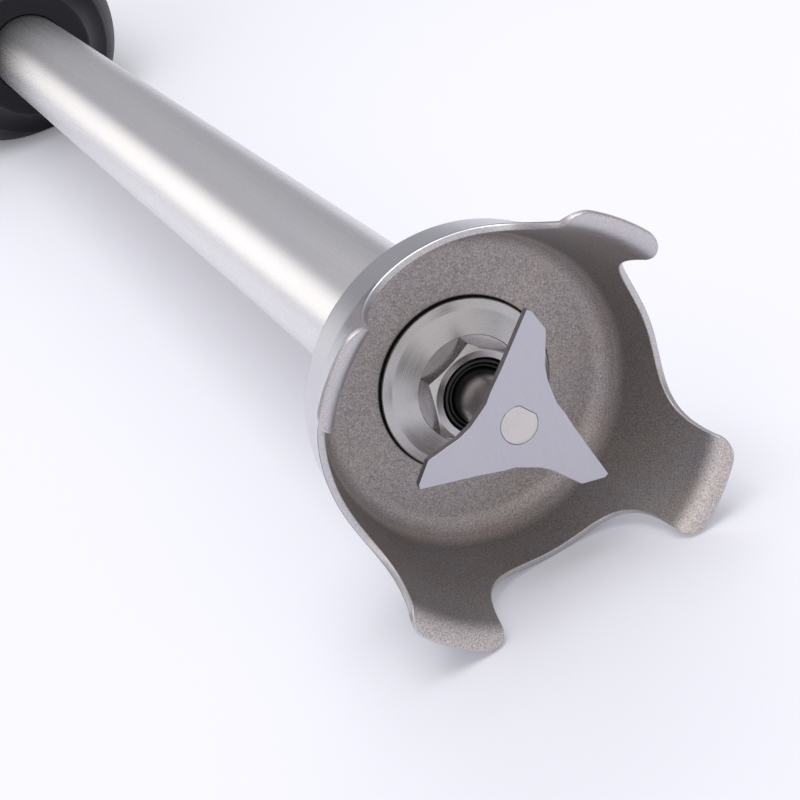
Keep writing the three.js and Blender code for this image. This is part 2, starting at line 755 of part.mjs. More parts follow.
// All of the space round the housing, on both sides and above the given depth below the axis.
const room = 60;
const aroundHousing = [noseStart - 6, capEnd + 18];
const restFlat = (depth) => box([-room, room], aroundHousing, [-depth, room]);

// Ring walls inside the shells that hold the tube flange and the motor's plates: [start, end, bore].
const ribs = [
  [463.6, 467.6, 22],
  [474.4, 477.6, 20],
  [490.2, 493.4, 24],
  [591.2, 594.2, 20],
];

function housingShell(side) {
  const outer = turned([[0, shellStart], ...housingOutline(0, shellStart, shellEnd), [0, shellEnd]], 28);
  const hollow = turned(
    [[0, shellStart + wall], ...housingOutline(wall, shellStart + wall, shellEnd + 1), [0, shellEnd + 1]],
    16,
  );
  const skin = cut(overlap(outer, restFlat(restDepth)), overlap(hollow, restFlat(restDepth - wall)));
  const ribRings = ribs.map(([start, end, bore]) => sleeve(bore, body.radius, start, end, 12));
  const inside = overlap(turned(
    [[0, shellStart + 1], ...housingOutline(1, shellStart + 1, shellEnd - 1), [0, shellEnd - 1]],
    16,
  ), restFlat(restDepth - 1));
  const ribbed = join(skin, ...ribRings.map((ribRing) => overlap(ribRing, inside)));

  // Screw posts run from the shell's wall to the middle plane.
  const posts = screwPlaces.map(({ u, z, reach }) => {
    const post = rodAlongX(screwHole.post, -reach, reach, u, z, 8);
    return overlap(post, inside);
  });
  const posted = join(ribbed, ...posts);

  const tubeHole = rodAlongY(flange.sleeve + GAP, shellStart - 1, shellStart + 10, 0, 0, 24);
  const triggerHalf = triggerWidth / 2 + 0.4;
  const triggerSlot = box([-triggerHalf, triggerHalf], [triggerSlotEnds.start, triggerSlotEnds.end], [5, 40]);
  const wheelHalf = wheel.width / 2 + 0.5;
  const wheelSlot = box([-wheelHalf, wheelHalf], [wheel.u - 16.8, wheel.u + 12.6], [wheel.z - 2, 40]);
  const vents = [];
  for (const start of ventSlot.starts) {
    for (const degrees of ventSlot.degrees) {
      const { length, halfHeight } = ventSlot;
      const slot = box([side * 24, side * 48], [start, start + length], [-halfHeight, halfHeight]);
      vents.push(slot.rotateY(degrees * DEGREE));
    }
  }
  const tools = [tubeHole, triggerSlot, wheelSlot, ...vents];
  screwPlaces.forEach(({ u, z, reach }) => {
    if (side > 0) {
      tools.push(rodAlongX(screwHole.clear, -1, room, u, z, 6));
      tools.push(rodAlongX(screwHole.head + 0.4, screwHole.seat, reach + 20, u, z, 8));
    } else {
      tools.push(rodAlongX(screwHole.clear, -screwHole.reach - 0.5, 1, u, z, 6));
    }
  });
  tools.push(rodAlongX(triggerPin + 0.25, -13, 13, triggerPivot.u, triggerPivot.z, 12));
  if (side < 0) tools.push(rodAlongX(lock.radius + 0.4, -30, -10, lock.u, lock.z, 16));
  const half = box(side > 0 ? [GAP / 2, room] : [-room, -GAP / 2], aroundHousing, [-room, room]);
  return overlap(cut(posted, ...tools), half);
}

const triggerSlotEnds = { start: triggerPivot.u - 8.5, end: triggerPivot.u + 58.5 };
const screwPlaces = [
  { u: 484, z: 32, reach: 24 },
  { u: 484, z: -24, reach: 30 },
  { u: 613, z: -18, reach: 24 },
  { u: 690, z: 12.5, reach: 18 },
  { u: 734, z: -24, reach: 18 },
];

add('housing_left', housingShell(-1), blackPlastic());
add('housing_right', housingShell(1), blackPlastic());
screwPlaces.forEach(({ u, z }, index) => {
  const screwHead = rodAlongX(screwHole.head, screwHole.seat + GAP, screwHole.seat + 2.5, u, z, 12);
  const shank = rodAlongX(screwHole.thread, -screwHole.reach, screwHole.seat + 1, u, z, 8);
  add(`housing_screw_${index + 1}`, join(screwHead, shank), steel());
});

// Ring that closes the housing's front end round the tube.
const nosePath = new THREE.Path();
nosePath.moveTo(21, noseStart);
nosePath.quadraticCurveTo(22.5, noseStart, 22.8, noseStart + 2);
nosePath.quadraticCurveTo(24.5, noseStart + 10, noseRadius, shellStart - GAP);
add('nose_collar', turned([
  [tube.outer + GAP, noseStart],
  ...nosePath.getPoints(3).map((point) => [point.x, point.y]),
  [tube.outer + GAP, shellStart - GAP],
], 28), blackPlastic());

function rearCap() {
  const start = shellEnd + GAP;
  const shell = overlap(turned([
    [0, start],
    [head.radius, start],
    [head.radius, capEnd - 3],
    [head.radius - 0.9, capEnd - 0.9],
    [head.radius - 3, capEnd],
    [0, capEnd],
  ], 28), restFlat(restDepth));
  const core = rodAlongY(head.radius - wall, start - 1, capEnd - wall, 0, 0, 20);
  const hollow = overlap(core, restFlat(restDepth - wall));
  const lug = new THREE.Shape();
  lug.moveTo(capEnd - 1, ring.top - 7);
  lug.lineTo(ring.u, ring.top - ring.lug);
  lug.absarc(ring.u, ring.top, ring.lug, -90 * DEGREE, 90 * DEGREE, false);
  lug.lineTo(capEnd - 1, ring.top + 6);
  const ringBore = rodAlongX(ring.bore, -10, 10, ring.u, ring.top, 20);
  const glandHole = rodAlongY(gland.hole, start - 1, capEnd + 1, 0, gland.z, 20);
  return cut(join(cut(shell, hollow), acrossObject(lug, 8)), ringBore, glandHole);
}

add('rear_cap', rearCap(), blackPlastic());

// Cable inlet with an open bore.
const rearEnd = capEnd + 12;
const glandShape = turned([
  [gland.bore, gland.start],
  [gland.thread, gland.start],
  [gland.thread, capEnd + GAP],
  [gland.collar, capEnd + GAP],
  [gland.collar, capEnd + 5],
  [gland.collar - 1, capEnd + 6],
  [gland.collar - 2.4, rearEnd],
  [gland.bore, rearEnd],
], 16);
add('cord_gland', glandShape.translate(0, 0, gland.z), blackPlastic());
const glandNut = { start: gland.start + 1.5, end: gland.start + 5.5, corner: 8.6 };
add('gland_nut', cut(
  rodAlongY(glandNut.corner, glandNut.start, glandNut.end, 0, gland.z, 6),
  rodAlongY(gland.hole, glandNut.start - 1, glandNut.end + 1, 0, gland.z, 18),
), greyPlastic());

const ringGeometry = new THREE.TorusGeometry(ring.radius, ring.wire, 6, 28).rotateX(Math.PI / 2);
add('hanging_ring', ringGeometry.translate(0, ring.u, ring.top - ring.radius), steel());

// ---------------------------------------------------------------- controls

// A lever seen from the side: it turns on its pin at the front, and a finger pulls its long back.
function trigger() {
  const front = triggerPivot.u - 6;
  const back = triggerPivot.u + 56.5;
  const side = new THREE.Shape();
  side.moveTo(front, 13);
  side.lineTo(front, 21);
  side.quadraticCurveTo(front + 2, 27, front + 12, 27.5);
  side.quadraticCurveTo(front + 36, 31, front + 56, 27.5);
  side.quadraticCurveTo(back - 0.5, 25.5, back, 17.5);
  side.lineTo(back - 4.5, 14.5);
  side.lineTo(triggerSpring.u, 11.6);
  side.lineTo(front + 1, 11.6);
  const pinHole = rodAlongX(triggerPin + 0.25, -10, 10, triggerPivot.u, triggerPivot.z, 12);
  return cut(acrossObject(side, triggerWidth), pinHole);
}

add('trigger', trigger(), redPlastic());
add('trigger_pin', rodAlongX(triggerPin, -12.6, 12.6, triggerPivot.u, triggerPivot.z, 12), steel());

add('power_switch', cut(
  box([-toggle.halfWidth, toggle.halfWidth], [toggle.start, toggle.end], [toggle.bottom, toggle.top]),
  rodAlongZ(plunger.radius + 0.35, toggle.bottom + 5, toggle.top + 1, 0, toggle.plungerU, 12),
), blackPlastic());
add('switch_plunger', rodAlongZ(
  plunger.radius,
  plunger.bottom,
  plunger.top,
  0,
  toggle.plungerU,
  12,
), whitePlastic());
const triggerCoil = coilSpring(
  triggerSpring.radius,
  triggerSpring.wire,
  triggerSpring.length,
  triggerSpring.turns,
);
add('trigger_spring', triggerCoil.translate(0, triggerSpring.u, toggle.top + 0.8), steel());

// A round cap with a collar that keeps it in the grip, and a stub that keeps its spring in place.
function lockButton() {
  const cap = rodAlongX(lock.radius, -lock.outerFace, -lock.innerFace, lock.u, lock.z, 16);
  const collar = rodAlongX(lock.collar, -lock.innerFace - 2, -lock.innerFace, lock.u, lock.z, 16);
  const stub = rodAlongX(lock.stub, -lock.innerFace - 1, -lock.innerFace + 2, lock.u, lock.z, 12);
  return join(cap, collar, stub);
}

add('lock_button', lockButton(), redPlastic());
const lockCoil = coilSpring(lockSpring.radius, lockSpring.wire, lockSpring.length, lockSpring.turns);
add('lock_spring', lockCoil.rotateY(-90 * DEGREE).translate(lockSpring.fixedEnd, lock.u, lock.z), steel());

function thumbWheel() {
  const { ridges } = wheel;
  const outline = new THREE.Shape();
  for (let k = 0; k < ridges; k += 1) {
    const angle = (k / ridges) * 2 * Math.PI;
    const next = ((k + 0.5) / ridges) * 2 * Math.PI;
    const crest = [wheel.radius * Math.cos(angle), wheel.radius * Math.sin(angle)];
    const trough = [(wheel.radius - 1) * Math.cos(next), (wheel.radius - 1) * Math.sin(next)];
    if (k === 0) outline.moveTo(...crest);
    else outline.lineTo(...crest);
    outline.lineTo(...trough);
  }
  const disc = acrossObject(outline, wheel.width).translate(0, wheel.u, wheel.z);
  const spindle = rodAlongX(wheel.spindle, -12, -wheel.width / 2 + 1, wheel.u, wheel.z, 12);
  return join(disc, spindle);
}

add('speed_dial', thumbWheel(), greyPlastic());
add('speed_potentiometer', cut(
  rodAlongX(5.8, -14, -4.4, wheel.u, wheel.z, 16),
  rodAlongX(wheel.spindle + GAP, -12.5, -4, wheel.u, wheel.z, 12),
), whitePlastic());

const circuit = { start: 676, end: 728, halfWidth: 12.5, bottom: -13, thickness: 1.6 };
const circuitTop = circuit.bottom + circuit.thickness;
add('control_board', box(
  [-circuit.halfWidth, circuit.halfWidth],
  [circuit.start, circuit.end],
  [circuit.bottom, circuitTop],
), board());
add('triac_heatsink', box([-8, 8], [circuit.end - 20, circuit.end - 4], [circuitTop + GAP, 0]), aluminium());
const capacitorPlace = [circuit.start + 16, circuit.start + 28];
add('suppression_capacitor', box([-5, 5], capacitorPlace, [circuitTop + GAP, 4]), whitePlastic());

// ---------------------------------------------------------------- place on the ground

assembly.position.set(0, -(rearEnd + bellFront) / 2, restDepth);

export default assembly;
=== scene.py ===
"""Immersion blender: fine surfaces, materials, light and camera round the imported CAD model.

Places are given as (x, u, h) in millimetres: x across the object, u along the shaft from the bell's
inner floor toward the housing, and h above the shaft's axis. at() turns them into the row frame.
"""

import json
import math

import bmesh
import bpy
import numpy as np
from mathutils import Matrix, Vector


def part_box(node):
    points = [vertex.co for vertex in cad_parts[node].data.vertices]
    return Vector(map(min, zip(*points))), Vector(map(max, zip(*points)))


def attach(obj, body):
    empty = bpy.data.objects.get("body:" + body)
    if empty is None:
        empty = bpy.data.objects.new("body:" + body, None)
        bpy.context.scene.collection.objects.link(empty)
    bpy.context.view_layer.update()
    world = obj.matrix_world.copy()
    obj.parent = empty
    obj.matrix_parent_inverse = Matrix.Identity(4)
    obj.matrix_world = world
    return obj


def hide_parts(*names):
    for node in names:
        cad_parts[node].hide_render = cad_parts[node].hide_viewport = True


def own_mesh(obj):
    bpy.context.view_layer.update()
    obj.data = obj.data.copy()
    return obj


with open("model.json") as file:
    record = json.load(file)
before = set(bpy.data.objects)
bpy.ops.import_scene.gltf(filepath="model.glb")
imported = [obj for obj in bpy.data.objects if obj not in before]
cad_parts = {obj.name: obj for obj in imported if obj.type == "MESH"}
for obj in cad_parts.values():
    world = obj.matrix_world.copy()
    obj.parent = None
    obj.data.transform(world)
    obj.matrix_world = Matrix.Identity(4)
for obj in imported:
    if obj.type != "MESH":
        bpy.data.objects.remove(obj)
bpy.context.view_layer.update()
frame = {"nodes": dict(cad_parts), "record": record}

MM = 0.001
RECORD = frame["record"]
SLOT_OF = {row["node"]: row["material_slot"] for row in RECORD["subparts"]}
BODY_OF = {node: body for body, nodes in RECORD["behaviour"]["bodies"].items() for node in nodes}

BELL_FLOOR_THICKNESS = 3.0
tube_low, tube_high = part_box("shaft_tube")
AXIS_HEIGHT = (tube_low.z + tube_high.z) / 2
BELL_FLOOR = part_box("bell_guard")[1].y - BELL_FLOOR_THICKNESS * MM
REST_DEPTH = AXIS_HEIGHT / MM


def at(x, u, h):
    """The row frame's point, in metres, for a place in millimetres."""
    return Vector((x * MM, BELL_FLOOR + u * MM, AXIS_HEIGHT + h * MM))


# ---------------------------------------------------------------- material nodes

# A mix node's socket numbers: its two numbers, its two colours, and its colour result.
MIX_NUMBERS = (2, 3)
MIX_COLOURS = (6, 7)
MIX_COLOUR_RESULT = 2


def add_node(tree, kind, inputs, **settings):
    """Adds a node. Inputs are given by index or name, as values or as other nodes' outputs."""
    made = tree.nodes.new(kind)
    for setting, value in settings.items():
        setattr(made, setting, value)
    for socket, value in inputs.items():
        if isinstance(value, bpy.types.NodeSocket):
            tree.links.new(value, made.inputs[socket])
        else:
            made.inputs[socket].default_value = value
    return made


def mixed(tree, share, *colours):
    """A mix of two colours, each given as a triple or as another node's output."""
    inputs = {0: share}
    for index, colour in zip(MIX_COLOURS, colours):
        inputs[index] = colour if isinstance(colour, bpy.types.NodeSocket) else (*colour, 1.0)
    return add_node(tree, "ShaderNodeMix", inputs, data_type="RGBA").outputs[MIX_COLOUR_RESULT]


class Look:
    """One material, built node by node round its Principled shader."""

    def __init__(self, name, metallic=0.0, **sockets):
        self.material = bpy.data.materials.new(name)
        self.material.use_nodes = True
        self.tree = self.material.node_tree
        self.shader = self.tree.nodes["Principled BSDF"]
        self.shader.inputs["Metallic"].default_value = metallic
        for socket, value in sockets.items():
            self.shader.inputs[socket.replace("_", " ")].default_value = value
        self.place = self.tree.nodes.new("ShaderNodeTexCoord").outputs["Object"]

    def node(self, kind, inputs, **settings):
        return add_node(self.tree, kind, inputs, **settings)

    def math(self, operation, first, second=0.0):
        return self.node("ShaderNodeMath", {0: first, 1: second}, operation=operation).outputs[0]

    def stretched(self, sizes, turn=(0, 0, 0)):
        """Coordinates in which one unit is the given size in millimetres along each axis."""
        scale = tuple(1 / (size * MM) for size in sizes)
        inputs = {"Vector": self.place, "Rotation": turn, "Scale": scale}
        return self.node("ShaderNodeMapping", inputs).outputs[0]

    def around_shaft(self, size, along_size, turn_share):
        """Coordinates that run round the shaft's axis: radius, place along it, and angle."""
        place = self.node("ShaderNodeSeparateXYZ", {0: self.place})
        height = self.math("SUBTRACT", place.outputs[2], AXIS_HEIGHT)
        across = self.math("POWER", place.outputs[0], 2.0)
        up = self.math("POWER", height, 2.0)
        radius = self.math("SQRT", self.math("ADD", across, up))
        angle = self.math("ARCTAN2", height, place.outputs[0])
        parts = {
            0: self.math("DIVIDE", radius, size * MM),
            1: self.math("DIVIDE", place.outputs[1], along_size * MM),
            2: self.math("MULTIPLY", angle, turn_share),
        }
        return self.node("ShaderNodeCombineXYZ", parts).outputs[0]

    def noise(self, vector, detail=2.0, roughness=0.5):
        inputs = {"Vector": vector, "Scale": 1.0, "Detail": detail, "Roughness": roughness}
        return self.node("ShaderNodeTexNoise", inputs).outputs[0]

    def spread(self, value, low, high, from_low=0.3, from_high=0.7):
        """The value, remapped to run from low to high."""
        inputs = {
            "Value": value,
            "From Min": from_low,
            "From Max": from_high,
            "To Min": low,
            "To Max": high,
        }
        return self.node("ShaderNodeMapRange", inputs).outputs[0]

    def blend(self, share, first, second):
        """A mix of two colours."""
        return mixed(self.tree, share, first, second)

    def mix(self, share, first, second):
        """A mix of two numbers."""
        inputs = {0: share, MIX_NUMBERS[0]: first, MIX_NUMBERS[1]: second}
        return self.node("ShaderNodeMix", inputs, data_type="FLOAT").outputs[0]

    def scaled(self, colour, factor):
        """A colour times a number."""
        inputs = {0: colour, "Scale": factor}
        return self.node("ShaderNodeVectorMath", inputs, operation="SCALE").outputs[0]

    def bump(self, height, depth, strength=1.0, under=None):
        """A bump that is depth millimetres high. Another bump may lie under it."""
        inputs = {"Height": height, "Distance": depth * MM, "Strength": strength}
        if under is not None:
            inputs["Normal"] = under
        return self.node("ShaderNodeBump", inputs).outputs[0]

    def use(self, socket, value):
        self.tree.links.new(value, self.shader.inputs[socket])

    def attribute(self, name):
        return self.node("ShaderNodeAttribute", {}, attribute_name=name).outputs["Fac"]


def bell_steel():
    """Bead-blasted inside and satin outside, as the mesh's finish attribute says.

    A second attribute scales the colour with painted light: painted shade darkens the walls, and
    painted highlights brighten the fillet, the lips and the rim. It also makes a ring round the seal
    nut darker.
    """
    look = Look("bell_guard_steel", metallic=1.0)
    finish = look.attribute("finish")
    grain = look.noise(look.stretched((0.27, 0.27, 0.27)), detail=2.5, roughness=0.7)
    speck = look.noise(look.stretched((0.2, 0.2, 0.2)), detail=1.0)
    cloud = look.noise(look.stretched((11, 11, 11)), detail=3.0)
    warm = look.blend(look.spread(cloud, 0, 1), (0.515, 0.465, 0.435), (0.485, 0.455, 0.465))
    grained = look.scaled(warm, look.spread(grain, 0.58, 1.36))
    # Painted light: this attribute darkens the walls with painted shade and brightens the fillet, the
    # lips and the rim with painted highlights.
    blasted = look.scaled(grained, look.attribute("painted_light_and_dark_ring"))
    lines = look.noise(look.around_shaft(0.12, 0.12, 1.2), detail=2.0)
    satin = look.scaled((0.54, 0.535, 0.5675), look.spread(lines, 0.95, 1.04))
    look.use("Base Color", look.blend(finish, blasted, satin))
    rough_blasted = look.spread(speck, 0.5, 0.72)
    rough_satin = look.spread(lines, 0.2, 0.27)
    look.use("Roughness", look.mix(finish, rough_blasted, rough_satin))
    grain_height = look.math("MULTIPLY", grain, look.math("SUBTRACT", 1.0, finish))
    coarse = look.bump(grain_height, 0.06, 0.9)
    look.use("Normal", look.bump(lines, 0.0012, 0.6, under=coarse))
    return look.material


def turned_steel(name, colour, roughness, spread=0.03, depth=0.0015, size=0.1):
    """Steel turned on a lathe: fine rings round the shaft's axis."""
    look = Look(name, metallic=1.0)
    rings = look.noise(look.around_shaft(size, size, 0.8), detail=2.5)
    cloud = look.noise(look.stretched((4, 4, 4)), detail=2.0)
    tone = look.math("MULTIPLY", look.spread(rings, 0.93, 1.05), look.spread(cloud, 0.96, 1.03))
    look.use("Base Color", look.scaled(colour, tone))
    look.use("Roughness", look.spread(rings, roughness - spread, roughness + spread))
    look.use("Normal", look.bump(rings, depth, 0.6))
    return look.material


def brushed_steel(
    name, colour, roughness, sizes, turn=(0, 0, 0), depth=0.0015, second=None, contrast=1.0
):
    """Steel with fine lines: sizes are the lines' width and length along each axis.

    The colour drifts toward a second one, and contrast scales how strongly the lines show.
    """
    look = Look(name, metallic=1.0)
    lines = look.noise(look.stretched(sizes, turn), detail=2.5)
    cloud = look.noise(look.stretched((9, 30, 9)), detail=2.0)
    tint = look.blend(look.spread(cloud, 0, 1), colour, second or colour)
    tone = look.spread(lines, 1 - 0.05 * contrast, 1 + 0.04 * contrast)
    look.use("Base Color", look.scaled(tint, tone))
    look.use("Roughness", look.spread(lines, roughness - 0.03 * contrast, roughness + 0.04 * contrast))
    look.use("Normal", look.bump(lines, depth, 0.6))
    return look.material


def moulded_plastic(name, colour, roughness, grain=0.45, depth=0.02, **sockets):
    """Plastic with a fine moulded grain, slightly smoother where hands have rubbed it."""
    look = Look(name, **sockets)
    pebble = look.noise(look.stretched((grain,) * 3), detail=2.0)
    toward_lip = look.noise(look.stretched((22, 40, 22)), detail=3.0)
    tone = look.math("MULTIPLY", look.spread(pebble, 0.88, 1.12), look.spread(toward_lip, 0.9, 1.1))
    look.use("Base Color", look.scaled(colour, tone))
    look.use("Roughness", look.spread(toward_lip, roughness - 0.07, roughness + 0.07))
    look.use("Normal", look.bump(pebble, depth, 0.5))
    return look.material


def wound_copper(name):
    """Enamelled wire: close ridges along the turns."""
    look = Look(name, metallic=1.0)
    wires = look.noise(look.around_shaft(0.5, 60, 3.0), detail=1.0)
    look.use("Base Color", look.blend(look.spread(wires, 0, 1), (0.36, 0.13, 0.05), (0.72, 0.33, 0.15)))
    look.use("Roughness", look.spread(wires, 0.25, 0.4))
    look.use("Normal", look.bump(wires, 0.15, 0.8))
    return look.material


def laminated(name):
    """Stacked sheets: thin lines across the shaft."""
    look = Look(name, metallic=1.0)
    sheets = look.noise(look.stretched((40, 0.5, 40)), detail=0.0)
    tone = look.blend(look.spread(sheets, 0, 1), (0.12, 0.12, 0.13), (0.36, 0.35, 0.36))
    look.use("Base Color", tone)
    look.use("Roughness", look.spread(sheets, 0.4, 0.6))
    look.use("Normal", look.bump(sheets, 0.1, 0.7))
    return look.material


def circuit_board(name):
    """A green board with lighter tracks."""
    look = Look(name)
    tracks = look.noise(look.stretched((3.5, 1.2, 3)), detail=0.0)
    on_track = look.spread(tracks, 0, 1, from_low=0.48, from_high=0.52)
    look.use("Base Color", look.blend(on_track, (0.02, 0.12, 0.05), (0.05, 0.25, 0.1)))
    look.use("Roughness", look.spread(tracks, 0.3, 0.4))
    return look.material


STEEL = (0.66, 0.655, 0.66)
MATERIALS = {
    "blasted_steel": bell_steel(),
    "tube_steel": brushed_steel(
        "shaft_tube_steel",
        (0.74, 0.72, 0.722),
        0.27,
        sizes=(0.22, 90, 0.22),
        depth=0.0002,
        second=(0.715, 0.7, 0.715),
        contrast=0.3,
    ),
    "turned_steel": turned_steel("seal_nut_steel", (0.50, 0.48, 0.48), 0.26, spread=0.04),
    "shaft_steel": turned_steel("drive_shaft_steel", (0.60, 0.57, 0.55), 0.24),
    "blade_steel": brushed_steel(
        "blade_steel_look",
        (0.50, 0.485, 0.525),
        0.3,
        sizes=(0.09, 0.09, 5),
        turn=(0, 0.5, 0),
        second=(0.485, 0.475, 0.52),
    ),
    "bearing_steel": turned_steel("bearing_steel_look", STEEL, 0.2),
    "fastener_steel": turned_steel("fastener_steel_look", (0.55, 0.55, 0.56), 0.34, size=0.3),
    "spring_steel": turned_steel("spring_steel_look", (0.58, 0.57, 0.56), 0.25, size=0.3),
    "seal_rubber": moulded_plastic(
        "seal_rubber_look", (0.011, 0.011, 0.012), 0.42, grain=0.25, depth=0.008
    ),
    "black_housing": moulded_plastic(
        "housing_black", (0.007, 0.007, 0.01), 0.5, Specular_IOR_Level=0.25
    ),
    "switch_black": moulded_plastic("switch_black_look", (0.02, 0.02, 0.022), 0.4),
    "control_red": moulded_plastic("control_red_look", (0.42, 0.02, 0.02), 0.34, grain=0.6, depth=0.01),
    "grey_plastic": moulded_plastic("grey_plastic_look", (0.12, 0.12, 0.13), 0.45),
    "white_plastic": moulded_plastic("white_plastic_look", (0.72, 0.70, 0.64), 0.45),
    "aluminium": brushed_steel(
        "aluminium_look", (0.6, 0.61, 0.62), 0.4, sizes=(0.6, 0.6, 0.6), depth=0.02
    ),
    "laminated_iron": laminated("laminated_iron_look"),
    "copper": wound_copper("copper_look"),
    "brass": brushed_steel("brass_look", (0.72, 0.52, 0.22), 0.3, sizes=(0.2, 4, 0.2)),
    "carbon": moulded_plastic("carbon_look", (0.02, 0.02, 0.02), 0.55, grain=0.2),
    "board_green": circuit_board("board_green_look"),
}


# ---------------------------------------------------------------- mesh tools

MERGE_DISTANCE = 1e-7
# A corner whose half angle is above this is left as it is, and a rounding uses at most this share
# of each side beside its corner.
NEARLY_STRAIGHT = math.radians(88)
SIDE_SHARE = 0.45


def grid(rows, columns, close_rows=False, close_columns=False):
    """Quads over points that are stored row by row."""
    last_row = rows if close_rows else rows - 1
    last_column = columns if close_columns else columns - 1
    faces = []
    for row in range(last_row):
        for column in range(last_column):
            below = (row + 1) % rows
            beside = (column + 1) % columns
            faces.append((
                row * columns + column,
                row * columns + beside,
                below * columns + beside,
                below * columns + column,
            ))
    return faces


def capped_grid(rows, columns):
    """Quads round a closed outline that is repeated in rows, with a face over each end."""
    last = (rows - 1) * columns
    faces = grid(rows, columns, close_columns=True)
    faces += [tuple(range(columns)), tuple(range(last + columns - 1, last - 1, -1))]
    return faces


def arc(centre, radius, start, end, steps):
    """Points on an arc, angles in degrees."""
    angles = [math.radians(start + (end - start) * step / steps) for step in range(steps + 1)]
    return [(centre[0] + radius * math.cos(a), centre[1] + radius * math.sin(a)) for a in angles]


def circle(centre, radius, steps):
    """A closed circle's points, each one once."""
    return arc(centre, radius, 0, 360 - 360 / steps, steps - 1)


def rounded(outline, radii, closed=True, steps=4):
    """The outline with its corners rounded. radii is one radius, or one for each corner."""
    count = len(outline)
    if not hasattr(radii, "__len__"):
        radii = [radii] * count
    points = []
    for index, corner in enumerate(outline):
        if radii[index] <= 0 or (not closed and index in (0, count - 1)):
            points.append(tuple(corner))
            continue
        here = Vector(corner)
        before = Vector(outline[index - 1]) - here
        after = Vector(outline[(index + 1) % count]) - here
        half = before.angle(after, math.pi) / 2
        if half > NEARLY_STRAIGHT:
            points.append(tuple(corner))
            continue
        longest = SIDE_SHARE * min(before.length, after.length)
        reach = min(radii[index] / math.tan(half), longest)
        start = here + before.normalized() * reach
        end = here + after.normalized() * reach
        for step in range(steps + 1):
            share = step / steps
            bent = (1 - share) ** 2 * start + 2 * share * (1 - share) * here + share ** 2 * end
            points.append(tuple(bent))
    return points


def round_axis(radius, turn, u):
    """The place (x, u, h) at a radius and a turn round the shaft's axis."""
    return radius * math.cos(turn), u, radius * math.sin(turn)


def rotated(x, h, turn):
    """(x, h), turned about the shaft's axis."""
    return x * math.cos(turn) - h * math.sin(turn), x * math.sin(turn) + h * math.cos(turn)


def turned(profile, segments, closed=True):
    """Points and faces of a (radius, u) outline turned about the shaft's axis."""
    turns = [2 * math.pi * step / segments for step in range(segments)]
    points = [round_axis(radius, turn, u) for radius, u in profile for turn in turns]
    return points, grid(len(profile), segments, close_rows=closed, close_columns=True)


def moved(shape, x=0.0, u=0.0, h=0.0):
    """The shape, moved by distances in millimetres."""
    points, faces = shape
    return [(px + x, pu + u, ph + h) for px, pu, ph in points], faces


def turned_to_x(shape):
    """A shape made about the shaft's axis, laid with its axis across the object."""
    points, faces = shape
    return [(u, -x, h) for x, u, h in points], faces


def laid_across(shape, u, h, x=0.0):
    """A shape made about the shaft's axis, laid across the object at a place."""
    return moved(turned_to_x(shape), x, u, h)


def turned_to_z(shape):
    """A shape made about the shaft's axis, stood up on its end."""
    points, faces = shape
    return [(x, -h, u) for x, u, h in points], faces


def together(*shapes):
    """Several closed shapes as one list of points and faces."""
    points, faces = [], []
    for shape_points, shape_faces in shapes:
        offset = len(points)
        points += list(shape_points)
        faces += [tuple(index + offset for index in face) for face in shape_faces]
    return points, faces


def box_shape(x, u, h):
    """A box between two places along each direction."""
    corners = [(a, b, c) for a in x for b in u for c in h]
    faces = [(0, 1, 3, 2), (4, 6, 7, 5), (0, 4, 5, 1), (2, 3, 7, 6), (0, 2, 6, 4), (1, 5, 7, 3)]
    return corners, faces


def in_scene(name, data):
    """A new object in the scene, made from a mesh, curve, light or camera."""
    made = bpy.data.objects.new(name, data)
    bpy.context.scene.collection.objects.link(made)
    return made


def cleaned(mesh):
    """Merges the mesh's doubled points and turns its faces outward."""
    work = bmesh.new()
    work.from_mesh(mesh)
    bmesh.ops.remove_doubles(work, verts=work.verts, dist=MERGE_DISTANCE)
    bmesh.ops.recalc_face_normals(work, faces=work.faces)
    work.to_mesh(mesh)
    work.free()
    return mesh


def make_object(name, shape):
    """A mesh object in the row frame, made from points in millimetres and faces."""
    points, faces = shape
    mesh = bpy.data.meshes.new(name)
    mesh.from_pydata([at(*point) for point in points], [], faces)
    return in_scene(name, cleaned(mesh))


def evaluated_mesh(made):
    """A copy of the object's shape as its modifiers or its curve settings leave it."""
    bpy.context.view_layer.update()
    depsgraph = bpy.context.evaluated_depsgraph_get()
    return bpy.data.meshes.new_from_object(made.evaluated_get(depsgraph))


def baked(made):
    """Puts the result of the object's modifiers into its mesh."""
    result = evaluated_mesh(made)
    made.modifiers.clear()
    made.data = result
    return made


def combined(made, other, operation):
    """A boolean of two mesh objects. The second one is used up."""
    modifier = made.modifiers.new("boolean", "BOOLEAN")
    modifier.operation = operation
    modifier.solver = "EXACT"
    modifier.object = other
    baked(made)
    bpy.data.objects.remove(other)
    return made


def cut(made, *shapes):
    """Cuts shapes out of a mesh object, one after another."""
    for shape in shapes:
        combined(made, make_object("cutter", shape), "DIFFERENCE")
    return made


